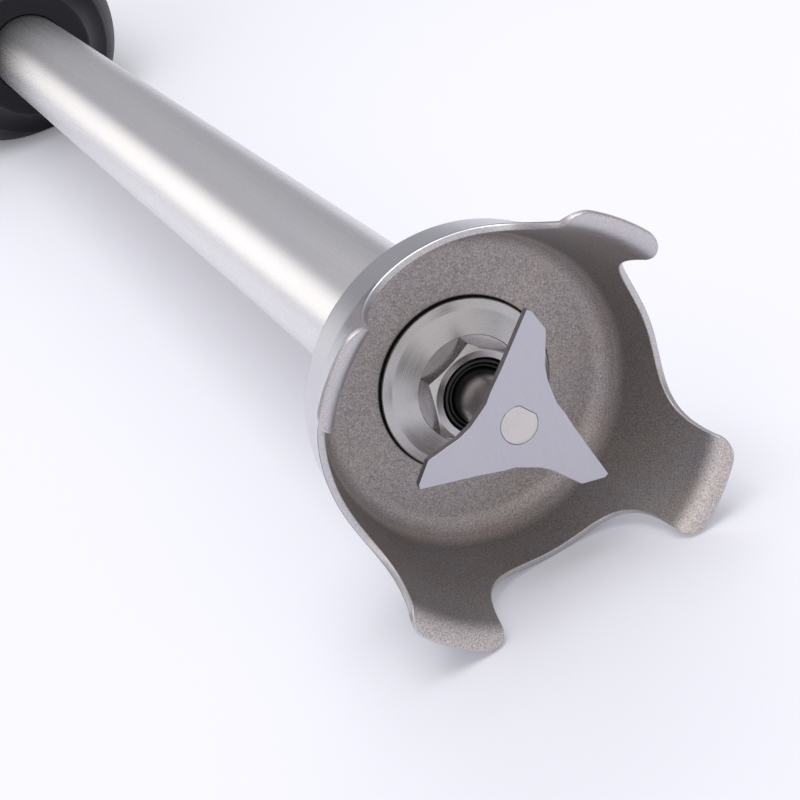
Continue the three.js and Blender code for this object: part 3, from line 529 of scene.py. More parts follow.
def plate(name, outlines, start, end, edge, plane="shaft"):
    """A flat piece with softly rounded edges. The first outline is its edge and the others are holes.

    On plane "shaft" the outline is in (x, h) and the piece runs along u from start to end. On plane
    "side" the outline is in (u, h) and the piece runs along x from start to end.
    """
    curve = bpy.data.curves.new(name, "CURVE")
    curve.dimensions = "2D"
    curve.fill_mode = "BOTH"
    for outline in outlines:
        spline = curve.splines.new("POLY")
        spline.points.add(len(outline) - 1)
        spline.use_cyclic_u = True
        for point, (first, second) in zip(spline.points, outline):
            point.co = (first * MM, second * MM, 0, 1)
    curve.extrude = (end - start) / 2 * MM - edge * MM
    curve.bevel_depth = edge * MM
    curve.bevel_resolution = 3
    curve.offset = -edge * MM
    holder = in_scene(name, curve)
    mesh = evaluated_mesh(holder)
    bpy.data.objects.remove(holder)
    middle = (start + end) / 2
    if plane == "shaft":
        columns = (Vector((1, 0, 0)), Vector((0, 0, 1)), Vector((0, 1, 0)))
        origin = at(0, middle, 0)
    else:
        columns = (Vector((0, 1, 0)), Vector((0, 0, 1)), Vector((1, 0, 0)))
        origin = at(middle, 0, 0)
    basis = Matrix(columns).transposed().to_4x4()
    mesh.transform(Matrix.Translation(origin) @ basis)
    return in_scene(name, cleaned(mesh))


def softened(made, width, angle):
    """Rounds the edges that turn by more than an angle in degrees, by a width in millimetres."""
    modifier = made.modifiers.new("edges", "BEVEL")
    modifier.width = width * MM
    modifier.segments = 2
    modifier.limit_method = "ANGLE"
    modifier.angle_limit = math.radians(angle)
    modifier.harden_normals = False
    return baked(made)


def finished(made, node, sharp=38):
    """Gives a piece its shading, its material and its body, and hides the CAD node that it stands for.
    """
    slot = SLOT_OF[node]
    made.data.materials.clear()
    made.data.materials.append(MATERIALS[slot])
    for polygon in made.data.polygons:
        polygon.use_smooth = True
        polygon.material_index = 0
    made.data.set_sharp_from_angle(angle=math.radians(sharp))
    weighted = made.modifiers.new("normals", "WEIGHTED_NORMAL")
    weighted.keep_sharp = True
    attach(made, BODY_OF[node])
    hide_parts(node)
    return made


def piece(node, shape, **shading):
    """A finished piece that stands for one CAD node."""
    return finished(make_object(f"{node}_surface", shape), node, **shading)


# ---------------------------------------------------------------- bell guard

FEET = 4
FLOOR_RADIUS = 27.4
BORE_RADIUS = 11.0
FLOOR_FILLET = 3.5
# The wall's lengths are measured along its inner side, from the corner with the floor.
WALL_LEAN = math.radians(13.5)
LIP_START = 28.8
LIP_BEND = 4.5
LIP_LEAN = math.radians(75)
LIP_FLAT = 0.5
LIP_CORNER = 4.0
LIP_ARC = LIP_BEND * (LIP_LEAN - WALL_LEAN)
WALL_LENGTH = LIP_START + LIP_ARC + LIP_FLAT
ARCH_DEPTH = 13.8
ARCH_HALF_ANGLE = 30.5
ARCH_POWER = 3.5
RIM_THICKNESS = 1.3
BASE_THICKNESS = 2.7
BACK_CORNER = 6.0
# How far the rim stands past the wall's end, and how its two edges are rounded.
RIM_REACH = 0.18
INNER_EDGE = 0.22
OUTER_EDGE = 0.42
# The floor's colour is darker in a ring round the seal nut, up to the first radius. Past the second it
# has its usual colour.
DARK_RING_EDGE = 16.25
DARK_RING_END = 16.5
DARK_RING_TONE = 0.04
# How the colour is scaled elsewhere: painted shade on the walls, a painted highlight on the fillet, and
# another on the lips and the rim. Then how far the two upper feet's lips are polished.
WALL_PAINTED_SHADE = 0.71
FILLET_PAINTED_HIGHLIGHT = 1.4
LIP_AND_RIM_PAINTED_HIGHLIGHT = 1.2
LIP_POLISH = 0.65
# Lengths over which the fillet's painted highlight fades into the wall's painted shade, and that into
# the lips' painted highlight.
FILLET_FADE = 3
LIP_FADE = 3.5
# The mesh's finish at the rim: inner edge, middle and outer edge.
INNER_EDGE_FINISH = (0.15, 0.45)
RIM_FINISH = 0.5
OUTER_EDGE_FINISH = (0.6, 1.0)
# Extra rings of points on the flat floor and on the flat back.
FLOOR_RINGS = (19, 22)
BACK_RING = 20
# Mesh steps: along half a foot's edge, up the wall, and round a fillet.
EDGE_STEPS = 72
WALL_STEPS = 40
FILLET_STEPS = 10


def inner_wall(length):
    """(radius, height above the bell's floor, lean) at a length along the inner wall."""
    lower = min(length, LIP_START)
    curl = min(max(length - LIP_START, 0), LIP_ARC)
    upper = max(length - LIP_START - LIP_ARC, 0)
    lean = WALL_LEAN + curl / LIP_BEND
    radius = FLOOR_RADIUS + lower * math.sin(WALL_LEAN) + upper * math.sin(lean)
    radius += LIP_BEND * (math.cos(WALL_LEAN) - math.cos(lean))
    height = lower * math.cos(WALL_LEAN) + upper * math.cos(lean)
    height += LIP_BEND * (math.sin(lean) - math.sin(WALL_LEAN))
    return radius, height, lean


def wall_point(length, depth):
    """(radius, height) at a share of the wall's thickness: 0 inside and 1 outside."""
    radius, height, lean = inner_wall(length)
    taper = max(1 - length / ARCH_DEPTH, 0)
    thickness = RIM_THICKNESS + (BASE_THICKNESS - RIM_THICKNESS) * taper
    return radius + depth * thickness * math.cos(lean), height - depth * thickness * math.sin(lean)


def edge_length(degrees):
    """How far the wall reaches at an angle from the middle of the nearest arch."""
    top = WALL_LENGTH - LIP_CORNER
    if degrees < ARCH_HALF_ANGLE:
        rise = (1 - (degrees / ARCH_HALF_ANGLE) ** ARCH_POWER) ** (1 / ARCH_POWER)
        return min(WALL_LENGTH - (WALL_LENGTH - ARCH_DEPTH) * rise, top)
    across = math.radians(degrees - ARCH_HALF_ANGLE) * inner_wall(WALL_LENGTH)[0]
    missing = max(LIP_CORNER - across, 0)
    return top + math.sqrt(LIP_CORNER ** 2 - missing ** 2)


def edge_angles(steps):
    """Angles from an arch's middle to a foot's middle, evenly spaced along the edge itself."""
    fine = np.linspace(0, 180 / FEET, 4001)
    length = np.array([edge_length(angle) for angle in fine])
    radius = np.array([inner_wall(value)[0] for value in length])
    strides = np.hypot(np.diff(length), np.radians(np.diff(fine)) * radius[1:])
    walked = np.concatenate([[0], np.cumsum(strides)])
    return np.interp(np.linspace(0, walked[-1], steps + 1), walked, fine)


def bell_guard():
    """The cup with its four feet, as one closed skin: floor, inner wall, rim, outer wall and back."""
    pitch = 360 // FEET
    half = list(edge_angles(EDGE_STEPS))
    one_foot = half[:-1] + [pitch - angle for angle in reversed(half)][:-1]
    angles = [foot * pitch + angle for foot in range(FEET) for angle in one_foot]
    columns = len(angles)
    lengths = [edge_length(abs((angle + pitch / 2) % pitch - pitch / 2)) for angle in angles]

    def place(radius, height, angle):
        return np.array(round_axis(radius, math.radians(angle), -height))

    def edge_points(depth, further=0.0):
        return np.array([
            place(*wall_point(length + further, depth), angle)
            for length, angle in zip(lengths, angles)
        ])

    inner_edge = edge_points(0)
    outer_edge = edge_points(1)
    along = np.roll(inner_edge, -1, axis=0) - np.roll(inner_edge, 1, axis=0)
    through = (outer_edge - inner_edge) / np.linalg.norm(outer_edge - inner_edge, axis=1)[:, None]
    outward = np.cross(through, along)
    outward /= np.linalg.norm(outward, axis=1)[:, None]
    upward = edge_points(0, further=0.1) - inner_edge
    outward *= np.sign(np.einsum("ij,ij->i", outward, upward))[:, None]

    fillet_turn = 90 - math.degrees(WALL_LEAN)
    reach = FLOOR_FILLET * math.tan(math.radians(fillet_turn / 2))
    centre = (FLOOR_RADIUS - reach, FLOOR_FILLET)
    rows = []
    finish = []
    painted_light_and_dark_ring = []

    def add_ring(radius, height, value, shade=1.0):
        rows.append(np.array([place(radius, height, angle) for angle in angles]))
        finish.append([value] * columns)
        painted_light_and_dark_ring.append([shade] * columns)

    for radius in (BORE_RADIUS, DARK_RING_EDGE):
        add_ring(radius, 0, 0, DARK_RING_TONE)
    for radius in (DARK_RING_END, *FLOOR_RINGS):
        add_ring(radius, 0, 0)
    # The fillet's rings carry a painted highlight that grows toward the wall.
    for radius, height in arc(centre, FLOOR_FILLET, -90, -90 + fillet_turn, FILLET_STEPS):
        add_ring(radius, height, 0, 1 + (FILLET_PAINTED_HIGHLIGHT - 1) * height / FLOOR_FILLET)

    def wall_row(step, depth, value):
        share = 1 - (1 - step / WALL_STEPS) ** 1.5
        row = []
        shades = []
        values = []
        for length, angle in zip(lengths, angles):
            along_wall = reach + (length - reach) * share
            row.append(place(*wall_point(along_wall, depth), angle))
            past_fillet = min((along_wall - reach) / FILLET_FADE, 1)
            toward_lip = min(max((along_wall - LIP_START + 1) / LIP_FADE, 0), 1)
            # Painted shade darkens the wall once the fillet's painted highlight has faded, and a
            # painted highlight brightens the lips.
            shade = FILLET_PAINTED_HIGHLIGHT + (WALL_PAINTED_SHADE - FILLET_PAINTED_HIGHLIGHT) * past_fillet
            shades.append(shade + (LIP_AND_RIM_PAINTED_HIGHLIGHT - WALL_PAINTED_SHADE) * toward_lip)
            values.append(max(value, LIP_POLISH * toward_lip if angle < 180 else 0))
        rows.append(np.array(row))
        finish.append(values)
        painted_light_and_dark_ring.append(shades)

    def rim_row(away, down, value):
        rows.append(inner_edge + outward * away + through * down)
        finish.append([value] * columns)
        # The rim carries the lips' painted highlight.
        painted_light_and_dark_ring.append([LIP_AND_RIM_PAINTED_HIGHLIGHT] * columns)

    for step in range(1, WALL_STEPS):
        wall_row(step, 0, 0)
    for turn in (0, 22.5, 45, 67.5, 90):
        away = RIM_REACH - INNER_EDGE * (1 - math.sin(math.radians(turn)))
        down = INNER_EDGE * (1 - math.cos(math.radians(turn)))
        first, last = INNER_EDGE_FINISH
        rim_row(away, down, first + (last - first) * turn / 90)
    rim_row(RIM_REACH, RIM_THICKNESS * 0.45, RIM_FINISH)
    for turn in (0, 18, 36, 54, 72, 90):
        away = RIM_REACH - OUTER_EDGE * (1 - math.cos(math.radians(turn)))
        down = RIM_THICKNESS - OUTER_EDGE * (1 - math.sin(math.radians(turn)))
        first, last = OUTER_EDGE_FINISH
        rim_row(away, down, first + (last - first) * turn / 90)
    for step in range(WALL_STEPS - 1, 0, -1):
        wall_row(step, 1, 1)
    back_radius = FLOOR_RADIUS + BASE_THICKNESS
    corner = (back_radius - BACK_CORNER, BACK_CORNER - BELL_FLOOR_THICKNESS)
    for radius, height in arc(corner, BACK_CORNER, 0, -90, FILLET_STEPS):
        add_ring(radius, height, 1)
    add_ring(BACK_RING, -BELL_FLOOR_THICKNESS, 1)
    add_ring(BORE_RADIUS, -BELL_FLOOR_THICKNESS, 1)
    add_ring(BORE_RADIUS, -BELL_FLOOR_THICKNESS / 2, 0.5)

    points = [tuple(point) for row in rows for point in row]
    made = make_object("bell_guard_surface", (points, grid(len(rows), columns, True, True)))
    for name, table in (("finish", finish), ("painted_light_and_dark_ring", painted_light_and_dark_ring)):
        values = made.data.attributes.new(name, "FLOAT", "POINT")
        values.data.foreach_set("value", np.array(table, np.float32).ravel())
    return finished(made, "bell_guard", sharp=50)


# ---------------------------------------------------------------- seal nut, seal, blade and shaft

HEX_SIDES = 6
HEX_FLAT = 17.0
HEX_TURN = 20.5
# The nut stands toward the bell's mouth: its hexagon up to the top, its flange up to the land.
NUT_TOP = 7.6
NUT_LAND = 2.75
NUT_BORE = 6.9
NUT_FACE_RADIUS = 8.3
NUT_CHAMFER_SLOPE = 0.57
FLANGE_RADIUS = 15.95
THREAD_RADIUS = 10.3
THREAD_END = 9.5


def seal_nut():
    """The dished flange with its threaded neck, and the hexagon that stands on it."""
    profile = rounded([
        (NUT_BORE, -NUT_LAND),
        (9.8, -NUT_LAND),
        (9.92, -2.95),
        (14.2, -1.4),
        (FLANGE_RADIUS, -1.0),
        (FLANGE_RADIUS, -0.3),
        (THREAD_RADIUS, -0.3),
        (THREAD_RADIUS, THREAD_END),
        (7.6, THREAD_END),
        (7.6, 2.0),
        (5.6, 2.0),
        (5.6, -1.0),
        (NUT_BORE, -1.0),
    ], [0, 0.03, 0.05, 3.0, 0.25, 0.05, 0.1, 0.3, 0.1, 0.1, 0.1, 0.1, 0])
    flange = turned(profile, 192)

    # The hexagon has a cone turned off its corners, and its foot is sunk into the flange.
    pitch = 360 // HEX_SIDES
    foot = NUT_LAND - 0.4
    steps = 18
    points = []
    for side in range(HEX_SIDES):
        for step in range(steps):
            degrees = side * pitch + pitch * step / steps
            from_flat = math.radians(degrees % pitch - pitch / 2)
            radius = HEX_FLAT / 2 / math.cos(from_flat)
            chamfer = NUT_TOP - (radius - NUT_FACE_RADIUS) * NUT_CHAMFER_SLOPE
            turn = math.radians(degrees + HEX_TURN)
            section = (
                (NUT_BORE, foot),
                (NUT_BORE, NUT_TOP - 0.25),
                (NUT_BORE + 0.2, NUT_TOP),
                (NUT_FACE_RADIUS, NUT_TOP),
                (radius, chamfer),
                (radius, foot),
            )
            points += [round_axis(ring_radius, turn, -height) for ring_radius, height in section]
    hexagon = (points, grid(HEX_SIDES * steps, len(section), True, True))
    made = softened(make_object("seal_nut_surface", together(flange, hexagon)), 0.09, angle=28)
    return finished(made, "seal_nut", sharp=30)


def lip_seal():
    """A rubber ring with two lips that run on the shaft."""
    profile = rounded([
        (6.6, -1.3),
        (6.6, -7.55),
        (6.2, -7.75),
        (6.0, -6.9),
        (5.9, -6.5),
        (5.75, -7.35),
        (5.55, -7.5),
        (5.3, -7.1),
        (5.3, -6.2),
        (5.55, -5.6),
        (5.3, -1.3),
    ], 0.12)
    return piece("lip_seal", turned(profile, 96))


BLADE_FACE = -24.4
BLADE_BACK = BLADE_FACE + 1.5
BLADE_ARMS = 3
BLADE_TURN = 63.6
# The middle's hole and the shaft's end in it have one flat, turned by this angle.
SEAT_RADIUS = 3.42
SEAT_FLAT = 2.97
SEAT_TURN = math.radians(36)
SEAT_GAP = 0.06
SHAFT_RADIUS = 5
SHAFT_END = 485
TUBE_RADIUS = 14
TUBE_BORE = 12.5


def flatted_disc(radius, flat, steps=64):
    """A disc outline with one flat."""
    half = math.degrees(math.acos(flat / radius))
    middle = math.degrees(SEAT_TURN)
    return arc((0, 0), radius, middle + half, middle - half + 360, steps)


def blade():
    """A flat blade. Each arm's corners run out along its back edge and home along its front edge."""
    back_edge = [(7.67, -4.52), (10.1, -3.87), (16.43, -3.49), (19.7, -0.55), (19.9, 0.25)]
    front_edge = [(13.5, 2.65), (9.45, 4.2), (5.93, 5.73)]
    neck_radius, neck_turn = 7.45, math.radians(58)
    neck = (neck_radius * math.cos(neck_turn), neck_radius * math.sin(neck_turn))
    arm = [*back_edge, *front_edge, neck]
    arm_radii = [4, 5, 0.6, 0.12, 0.12, 8, 12, 6, 3]
    corners = []
    for k in range(BLADE_ARMS):
        turn = math.radians(BLADE_TURN + 360 // BLADE_ARMS * k)
        corners += [rotated(x, h, turn) for x, h in arm]
    outline = rounded(corners, arm_radii * BLADE_ARMS, steps=6)
    hole = flatted_disc(SEAT_RADIUS, SEAT_FLAT)
    made = plate("blade_surface", [outline, hole], BLADE_FACE, BLADE_BACK, 0.07)
    return finished(made, "blade", sharp=30)


def drive_shaft():
    """The rod up to the coupling, with the flatted stub that is riveted into the blade."""
    shoulder = BLADE_BACK + 0.3
    profile = [(0, shoulder), (SHAFT_RADIUS, shoulder), (SHAFT_RADIUS, SHAFT_END), (0, SHAFT_END)]
    shape = turned(rounded(profile, 0.4, closed=False), 96, closed=False)
    made = make_object("drive_shaft_surface", shape)
    stub_outline = flatted_disc(SEAT_RADIUS - SEAT_GAP, SEAT_FLAT - SEAT_GAP)
    stub = plate("stub", [stub_outline], BLADE_FACE - 0.02, BLADE_BACK + 1, 0.1)
    combined(made, stub, "UNION")
    return finished(made, "drive_shaft", sharp=30)


def shaft_tube():
    """The plain tube, with extra points along it."""
    start, end = [(corner.y - BELL_FLOOR) / MM for corner in (tube_low, tube_high)]
    skin_start, skin_end = (TUBE_RADIUS, start), (TUBE_RADIUS, end)
    profile = rounded([(TUBE_BORE, start), skin_start, skin_end, (TUBE_BORE, end)], 0.25)
    near_start = [point for point in profile if point[1] < end / 2]
    near_end = [point for point in profile if point[1] > end / 2]
    stations = near_start + straight(skin_start, skin_end, 40)[:-1] + near_end
    return piece("shaft_tube", turned(stations, 160))


# ---------------------------------------------------------------- motor housing

COLLAR_START = 426.0
SHELL_START = 440.0
SHELL_END = 740.0
CAP_END = 752.0
WALL = 3.0
NOSE_RADIUS = 31
BODY_RADIUS = 41.98
GRIP_RADIUS = 22.3
HEAD_RADIUS = 34.0
TUBE_HOLE_RADIUS = 18.3
# Half the gap between the two shells, how far their edges beside it are rounded, and the distances
# from the gap at which the section has extra points for that.
SPLIT = 0.15
SEAM_EDGE = 0.4
SEAM_POINTS = (0, 0.07, 0.16, 0.28, 0.45)
# The flat underside meets the round body along a softened edge: the larger, the sharper.
FLAT_SHARPNESS = 60
GLAND_HEIGHT = -19.5


def bezier(first, second, third, fourth, steps):
    """Points along a cubic curve, without its first point."""
    points = []
    for step in range(1, steps + 1):
        t = step / steps
        weights = ((1 - t) ** 3, 3 * t * (1 - t) ** 2, 3 * t * t * (1 - t), t ** 3)
        points.append(tuple(
            sum(weight * point[axis] for weight, point in zip(weights, (first, second, third, fourth)))
            for axis in (0, 1)
        ))
    return points


def quadratic(first, middle, last, steps=10):
    """Points along a curve that leaves and arrives toward its middle, without its first point."""
    return [
        tuple(
            (1 - t) ** 2 * first[axis] + 2 * t * (1 - t) * middle[axis] + t * t * last[axis]
            for axis in (0, 1)
        )
        for t in (step / steps for step in range(1, steps + 1))
    ]


def straight(first, second, steps):
    """Points along a straight line, without its first point."""
    return [
        tuple(first[axis] + (second[axis] - first[axis]) * step / steps for axis in (0, 1))
        for step in range(1, steps + 1)
    ]


def housing_outline():
    """The housing's side outline as (radius, u), from its nose to its rear edge."""
    nose = (NOSE_RADIUS, SHELL_START)
    body_start, body_end = (BODY_RADIUS, 502), (BODY_RADIUS, 580)
    grip_start, grip_end = (GRIP_RADIUS, 642), (GRIP_RADIUS, 680)
    head_start, head_end = (HEAD_RADIUS, 730), (HEAD_RADIUS, SHELL_END)
    points = [nose]
    points += bezier(nose, (36, 448), (BODY_RADIUS, 462), body_start, 24)
    points += straight(body_start, body_end, 16)
    points += bezier(body_end, (BODY_RADIUS, 612), (GRIP_RADIUS, 612), grip_start, 30)
    points += straight(grip_start, grip_end, 8)
    points += bezier(grip_end, (GRIP_RADIUS, 708), (HEAD_RADIUS, 704), head_start, 24)
    points += straight(head_start, head_end, 4)
    return points


def flattened(radius, turn, depth):
    """The radius at a turn from +X, where a flat underside cuts the round body at a depth."""
    below = max(-math.sin(turn), 1e-3)
    flat = depth / below
    return (radius ** -FLAT_SHARPNESS + flat ** -FLAT_SHARPNESS) ** (-1 / FLAT_SHARPNESS)


def half_section(radius, depth, side, edge):
    """Points of half a section, from the top of the middle plane round to the bottom."""
    near = [math.degrees((SPLIT + distance) / radius) for distance in SEAM_POINTS]
    first, steps = 2, 72
    middle = [first + (180 - 2 * first) * step / steps for step in range(steps + 1)]
    turns = near + middle + [180 - angle for angle in reversed(near)]
    points = []
    for from_top in turns:
        turn = math.radians(90 - from_top)
        reach = flattened(radius, turn, depth)
        across = reach * math.cos(turn)
        from_split = max(across - SPLIT, 0)
        if edge > from_split:
            reach -= edge * (1 - math.sqrt(1 - (1 - from_split / edge) ** 2))
        points.append((side * max(across, SPLIT), reach * math.sin(turn)))
    return points


def housing_shell(side):
    """One half of the housing: skin, front wall and rear edge."""
    # Sections are (u, outer radius, inner radius, outer depth, inner depth). The edges at both
    # ends are rounded by two small steps.
    front = (TUBE_HOLE_RADIUS, REST_DEPTH, REST_DEPTH)
    sections = [
        (SHELL_START, NOSE_RADIUS - 0.5, *front),
        (SHELL_START + 0.2, NOSE_RADIUS - 0.1, *front),
    ]
    inside_started = False
    for radius, u in housing_outline()[1:]:
        if u > SHELL_START + WALL and not inside_started:
            sections.append((SHELL_START + WALL, radius - 0.3, *front))
            inside_started = True
        inner = radius - WALL if inside_started else TUBE_HOLE_RADIUS
        sections.append((u, radius, inner, REST_DEPTH, REST_DEPTH - WALL))
    last = sections.pop()
    sections.append((SHELL_END - 0.35, *last[1:]))
    sections.append((SHELL_END - 0.1, last[1] - 0.1, *last[2:]))
    sections.append((SHELL_END, last[1] - 0.35, *last[2:]))

    points = []
    for u, outer, inner, depth, inner_depth in sections:
        points += [(x, u, h) for x, h in half_section(outer, depth, side, SEAM_EDGE)]
        points += [(x, u, h) for x, h in reversed(half_section(inner, inner_depth, side, 0))]
    columns = len(points) // len(sections)
    faces = grid(len(sections), columns, close_columns=True)
    half = columns // 2
    for row in (0, len(sections) - 1):
        for k in range(half - 1):
            base = row * columns
            faces.append((base + k, base + k + 1, base + columns - 2 - k, base + columns - 1 - k))
    return make_object(f"housing_{'right' if side > 0 else 'left'}_surface", (points, faces))


def slot_shape(x, u, half_height, degrees):
    """A vent slot with round ends, through the wall at one side, turned round the shaft's axis."""
    outline = arc((u[1] - half_height, 0), half_height, -90, 90, 10)
    outline += arc((u[0] + half_height, 0), half_height, 90, 270, 10)
    points = []
    for out in x:
        for place_u, place_h in outline:
            place_x, place_h = rotated(out, place_h, math.radians(degrees))
            points.append((place_x, place_u, place_h))
    return points, capped_grid(2, len(outline))


def prism(outline, start, end):
    """A shape drawn in (x, u), standing from one height to another."""
    points = [(x, u, start) for x, u in outline] + [(x, u, end) for x, u in outline]
    return points, capped_grid(2, len(outline))


def rod(radius, start, end):
    """A round bar along the shaft's direction."""
    return turned([(0, start), (radius, start), (radius, end), (0, end)], 40, closed=False)


TRIGGER = {"pivot_u": 622.0, "pivot_h": 15.0, "pin_radius": 2.15, "width": 15.6}
TRIGGER["slot"] = (613.5, 680.5)
WHEEL = {"u": 721.0, "h": 20.0, "radius": 16.0, "width": 7.0, "slot": (704.2, 733.6)}
LOCK = {"u": 652.0, "h": 2.0, "radius": 5.0}
RING = {"u": 758, "h": 23, "radius": 15.0, "wire": 2.0}
VENT_ROWS = (506, 596)
VENT_ANGLES = (-32, -16, 0, 16, 32)
VENT_LENGTH = 12
VENT_HALF_HEIGHT = 1.8
SCREW_SEAT = 8.0
SCREW_HOLE_RADIUS = 3.4
SCREW_PLACES = [(484, 32), (484, -24), (613, -18), (690, 12.5), (734, -24)]


def slot_outline(half_width, u, radius):
    """A box in (x, u) with rounded corners, for a slot on the middle plane."""
    corners = [(-half_width, u[0]), (half_width, u[0]), (half_width, u[1]), (-half_width, u[1])]
    return rounded(corners, radius, steps=6)


def housing_openings(side):
    """Everything that is cut through one shell's wall."""
    trigger_floor, wheel_floor, pin_reach, button_reach, outside = 5, 18, 13, 8, 60
    trigger_half = TRIGGER["width"] / 2 + 0.4
    wheel_half = WHEEL["width"] / 2 + 0.5
    pin = rod(TRIGGER["pin_radius"], -pin_reach, pin_reach)
    shapes = [
        prism(slot_outline(trigger_half, TRIGGER["slot"], 1.5), trigger_floor, outside),
        prism(slot_outline(wheel_half, WHEEL["slot"], 1.0), wheel_floor, outside),
        laid_across(pin, TRIGGER["pivot_u"], TRIGGER["pivot_h"]),
    ]
    through_wall = (24, 48) if side > 0 else (-48, -24)
    for start in VENT_ROWS:
        for degrees in VENT_ANGLES:
            span = (start, start + VENT_LENGTH)
            shapes.append(slot_shape(through_wall, span, VENT_HALF_HEIGHT, degrees))
    if side > 0:
        for u, h in SCREW_PLACES:
            shapes.append(laid_across(rod(SCREW_HOLE_RADIUS, SCREW_SEAT, outside), u, h))
    else:
        button = rod(LOCK["radius"] + 0.4, -outside, -button_reach)
        shapes.append(laid_across(button, LOCK["u"], LOCK["h"]))
    return shapes


def housing():
    """The two shells, each with its openings cut."""
    for side, node in ((-1, "housing_left"), (1, "housing_right")):
        shell = cut(housing_shell(side), *housing_openings(side))
        finished(shell, node, sharp=32)


def nose_collar():
    """The flared ring between the tube and the housing's front."""
    bore, end = 14.3, SHELL_START - 0.3
    start, shoulder = (21, COLLAR_START), (22.8, COLLAR_START + 2)
    path = [start]
    path += quadratic(start, (22.5, COLLAR_START), shoulder)
    path += quadratic(shoulder, (24.5, COLLAR_START + 10), (NOSE_RADIUS, end))
    inner = rounded([(bore, end), (bore, COLLAR_START), start], 0.6, closed=False)
    return piece("nose_collar", turned(path + inner[:-1], 160))


def rear_cap():
    """The cap over the head's end, with the ring's lug and the cord inlet's hole."""
    start = SHELL_END + 0.3
    corner = 3
    edge = (HEAD_RADIUS, start + 0.35)
    profile = [(HEAD_RADIUS - 0.35, start), (HEAD_RADIUS - 0.1, start + 0.1), edge]
    profile += straight(edge, (HEAD_RADIUS, CAP_END - corner), 4)
    profile += arc((HEAD_RADIUS - corner, CAP_END - corner), corner, 0, 90, 8)[1:]
    profile += straight((HEAD_RADIUS - corner, CAP_END), (0, CAP_END), 10)
    inner = [
        (0, CAP_END - WALL),
        (HEAD_RADIUS - WALL, CAP_END - WALL),
        (HEAD_RADIUS - WALL, start),
    ]
    segments = 192
    points = []
    for index, (radius, u) in enumerate(profile + inner):
        depth = REST_DEPTH if index < len(profile) else REST_DEPTH - WALL
        for step in range(segments):
            turn = 2 * math.pi * step / segments
            reach = flattened(radius, turn, depth) if radius > 0 else 0
            points.append(round_axis(reach, turn, u))
    faces = grid(len(profile) + len(inner), segments, True, True)
    shell = make_object("rear_cap_surface", (points, faces))
    lug_radius, lug_half, lug_hole, foot = 5.5, 4, 3, CAP_END - 1
    eye = (RING["u"], RING["h"])
    lug_outline = [(foot, eye[1] - 7), (eye[0], eye[1] - lug_radius)]
    lug_outline += arc(eye, lug_radius, -90, 90, 24)[1:]
    lug_outline += [(foot, eye[1] + 6)]
    outlines = [lug_outline, circle(eye, lug_hole, 48)]
    combined(shell, plate("lug", outlines, -lug_half, lug_half, 0.6, plane="side"), "UNION")
    gland_hole = 6.5
    cut(shell, moved(rod(gland_hole, start - 1, CAP_END + 1), h=GLAND_HEIGHT))
    return finished(shell, "rear_cap", sharp=32)


def cord_gland():
    """The cord inlet: a flanged sleeve through the rear cap, open right through."""
    bore, neck, flange = 3.6, 6.2, 8
    flange_start, end = CAP_END + 0.3, 764
    profile = rounded([
        (bore, 743),
        (neck, 743),
        (neck, flange_start),
        (flange, flange_start),
        (flange, 757),
        (flange - 1, 758),
        (5.6, end),
        (bore, end),
    ], [0.3, 0.3, 0, 0.5, 0.6, 0.6, 0.8, 0.5])
    return piece("cord_gland", moved(turned(profile, 96), h=GLAND_HEIGHT))


def hanging_ring():
    """A bent wire ring with a small weld where its ends meet."""
    around, sides = 128, 24
    weld_height, weld_place, weld_spread = 0.22, around * 0.75, 1.5
    points = []
    for step in range(around):
        turn = 2 * math.pi * step / around
        weld = weld_height * math.exp(-((step - weld_place) / weld_spread) ** 2)
        for side in range(sides):
            angle = 2 * math.pi * side / sides
            thick = RING["wire"] - weld_height + weld
            reach = RING["radius"] + thick * math.cos(angle)
            points.append(round_axis(reach, turn, thick * math.sin(angle)))
    shape = moved((points, grid(around, sides, True, True)), u=RING["u"], h=RING["h"] - RING["radius"])
    return piece("hanging_ring", shape)


# ---------------------------------------------------------------- controls


def trigger():
    """A finger-long lever, humped along its top, with a hole for its pin. Drawn in (u, h)."""
    front, front_top, rear_top, rear = (616, 21), (628, 27.5), (672, 27.5), (678.5, 17.5)
    outline = [(616, 13), front]
    outline += quadratic(front, (618, 27), front_top)
    outline += quadratic(front_top, (652, 31), rear_top, 20)
    outline += quadratic(rear_top, (678, 25.5), rear)
    outline += [(674, 14.5), (640, 11.6), (617, 11.6)]
    half = TRIGGER["width"] / 2
    pin_hole = circle((TRIGGER["pivot_u"], TRIGGER["pivot_h"]), TRIGGER["pin_radius"], 32)
    made = plate("trigger_surface", [outline, pin_hole], -half, half, 1.1, plane="side")
    return finished(made, "trigger")


def speed_dial():
    """A thumb wheel with rounded ridges, on a spindle."""
    ridges, ridge_steps, ridge_height = 24, 10, 0.5
    outline = []
    for step in range(ridges * ridge_steps):
        angle = 2 * math.pi * step / (ridges * ridge_steps)
        reach = WHEEL["radius"] - ridge_height + ridge_height * math.cos(ridges * angle)
        outline.append((WHEEL["u"] + reach * math.cos(angle), WHEEL["h"] + reach * math.sin(angle)))
    half = WHEEL["width"] / 2
    made = plate("speed_dial_surface", [outline], -half, half, 0.5, plane="side")
    spindle_radius, spindle_end = 2, -12
    spindle = rod(spindle_radius, spindle_end, -half + 1)
    combined(made, make_object("spindle", laid_across(spindle, WHEEL["u"], WHEEL["h"])), "UNION")
    return finished(made, "speed_dial")


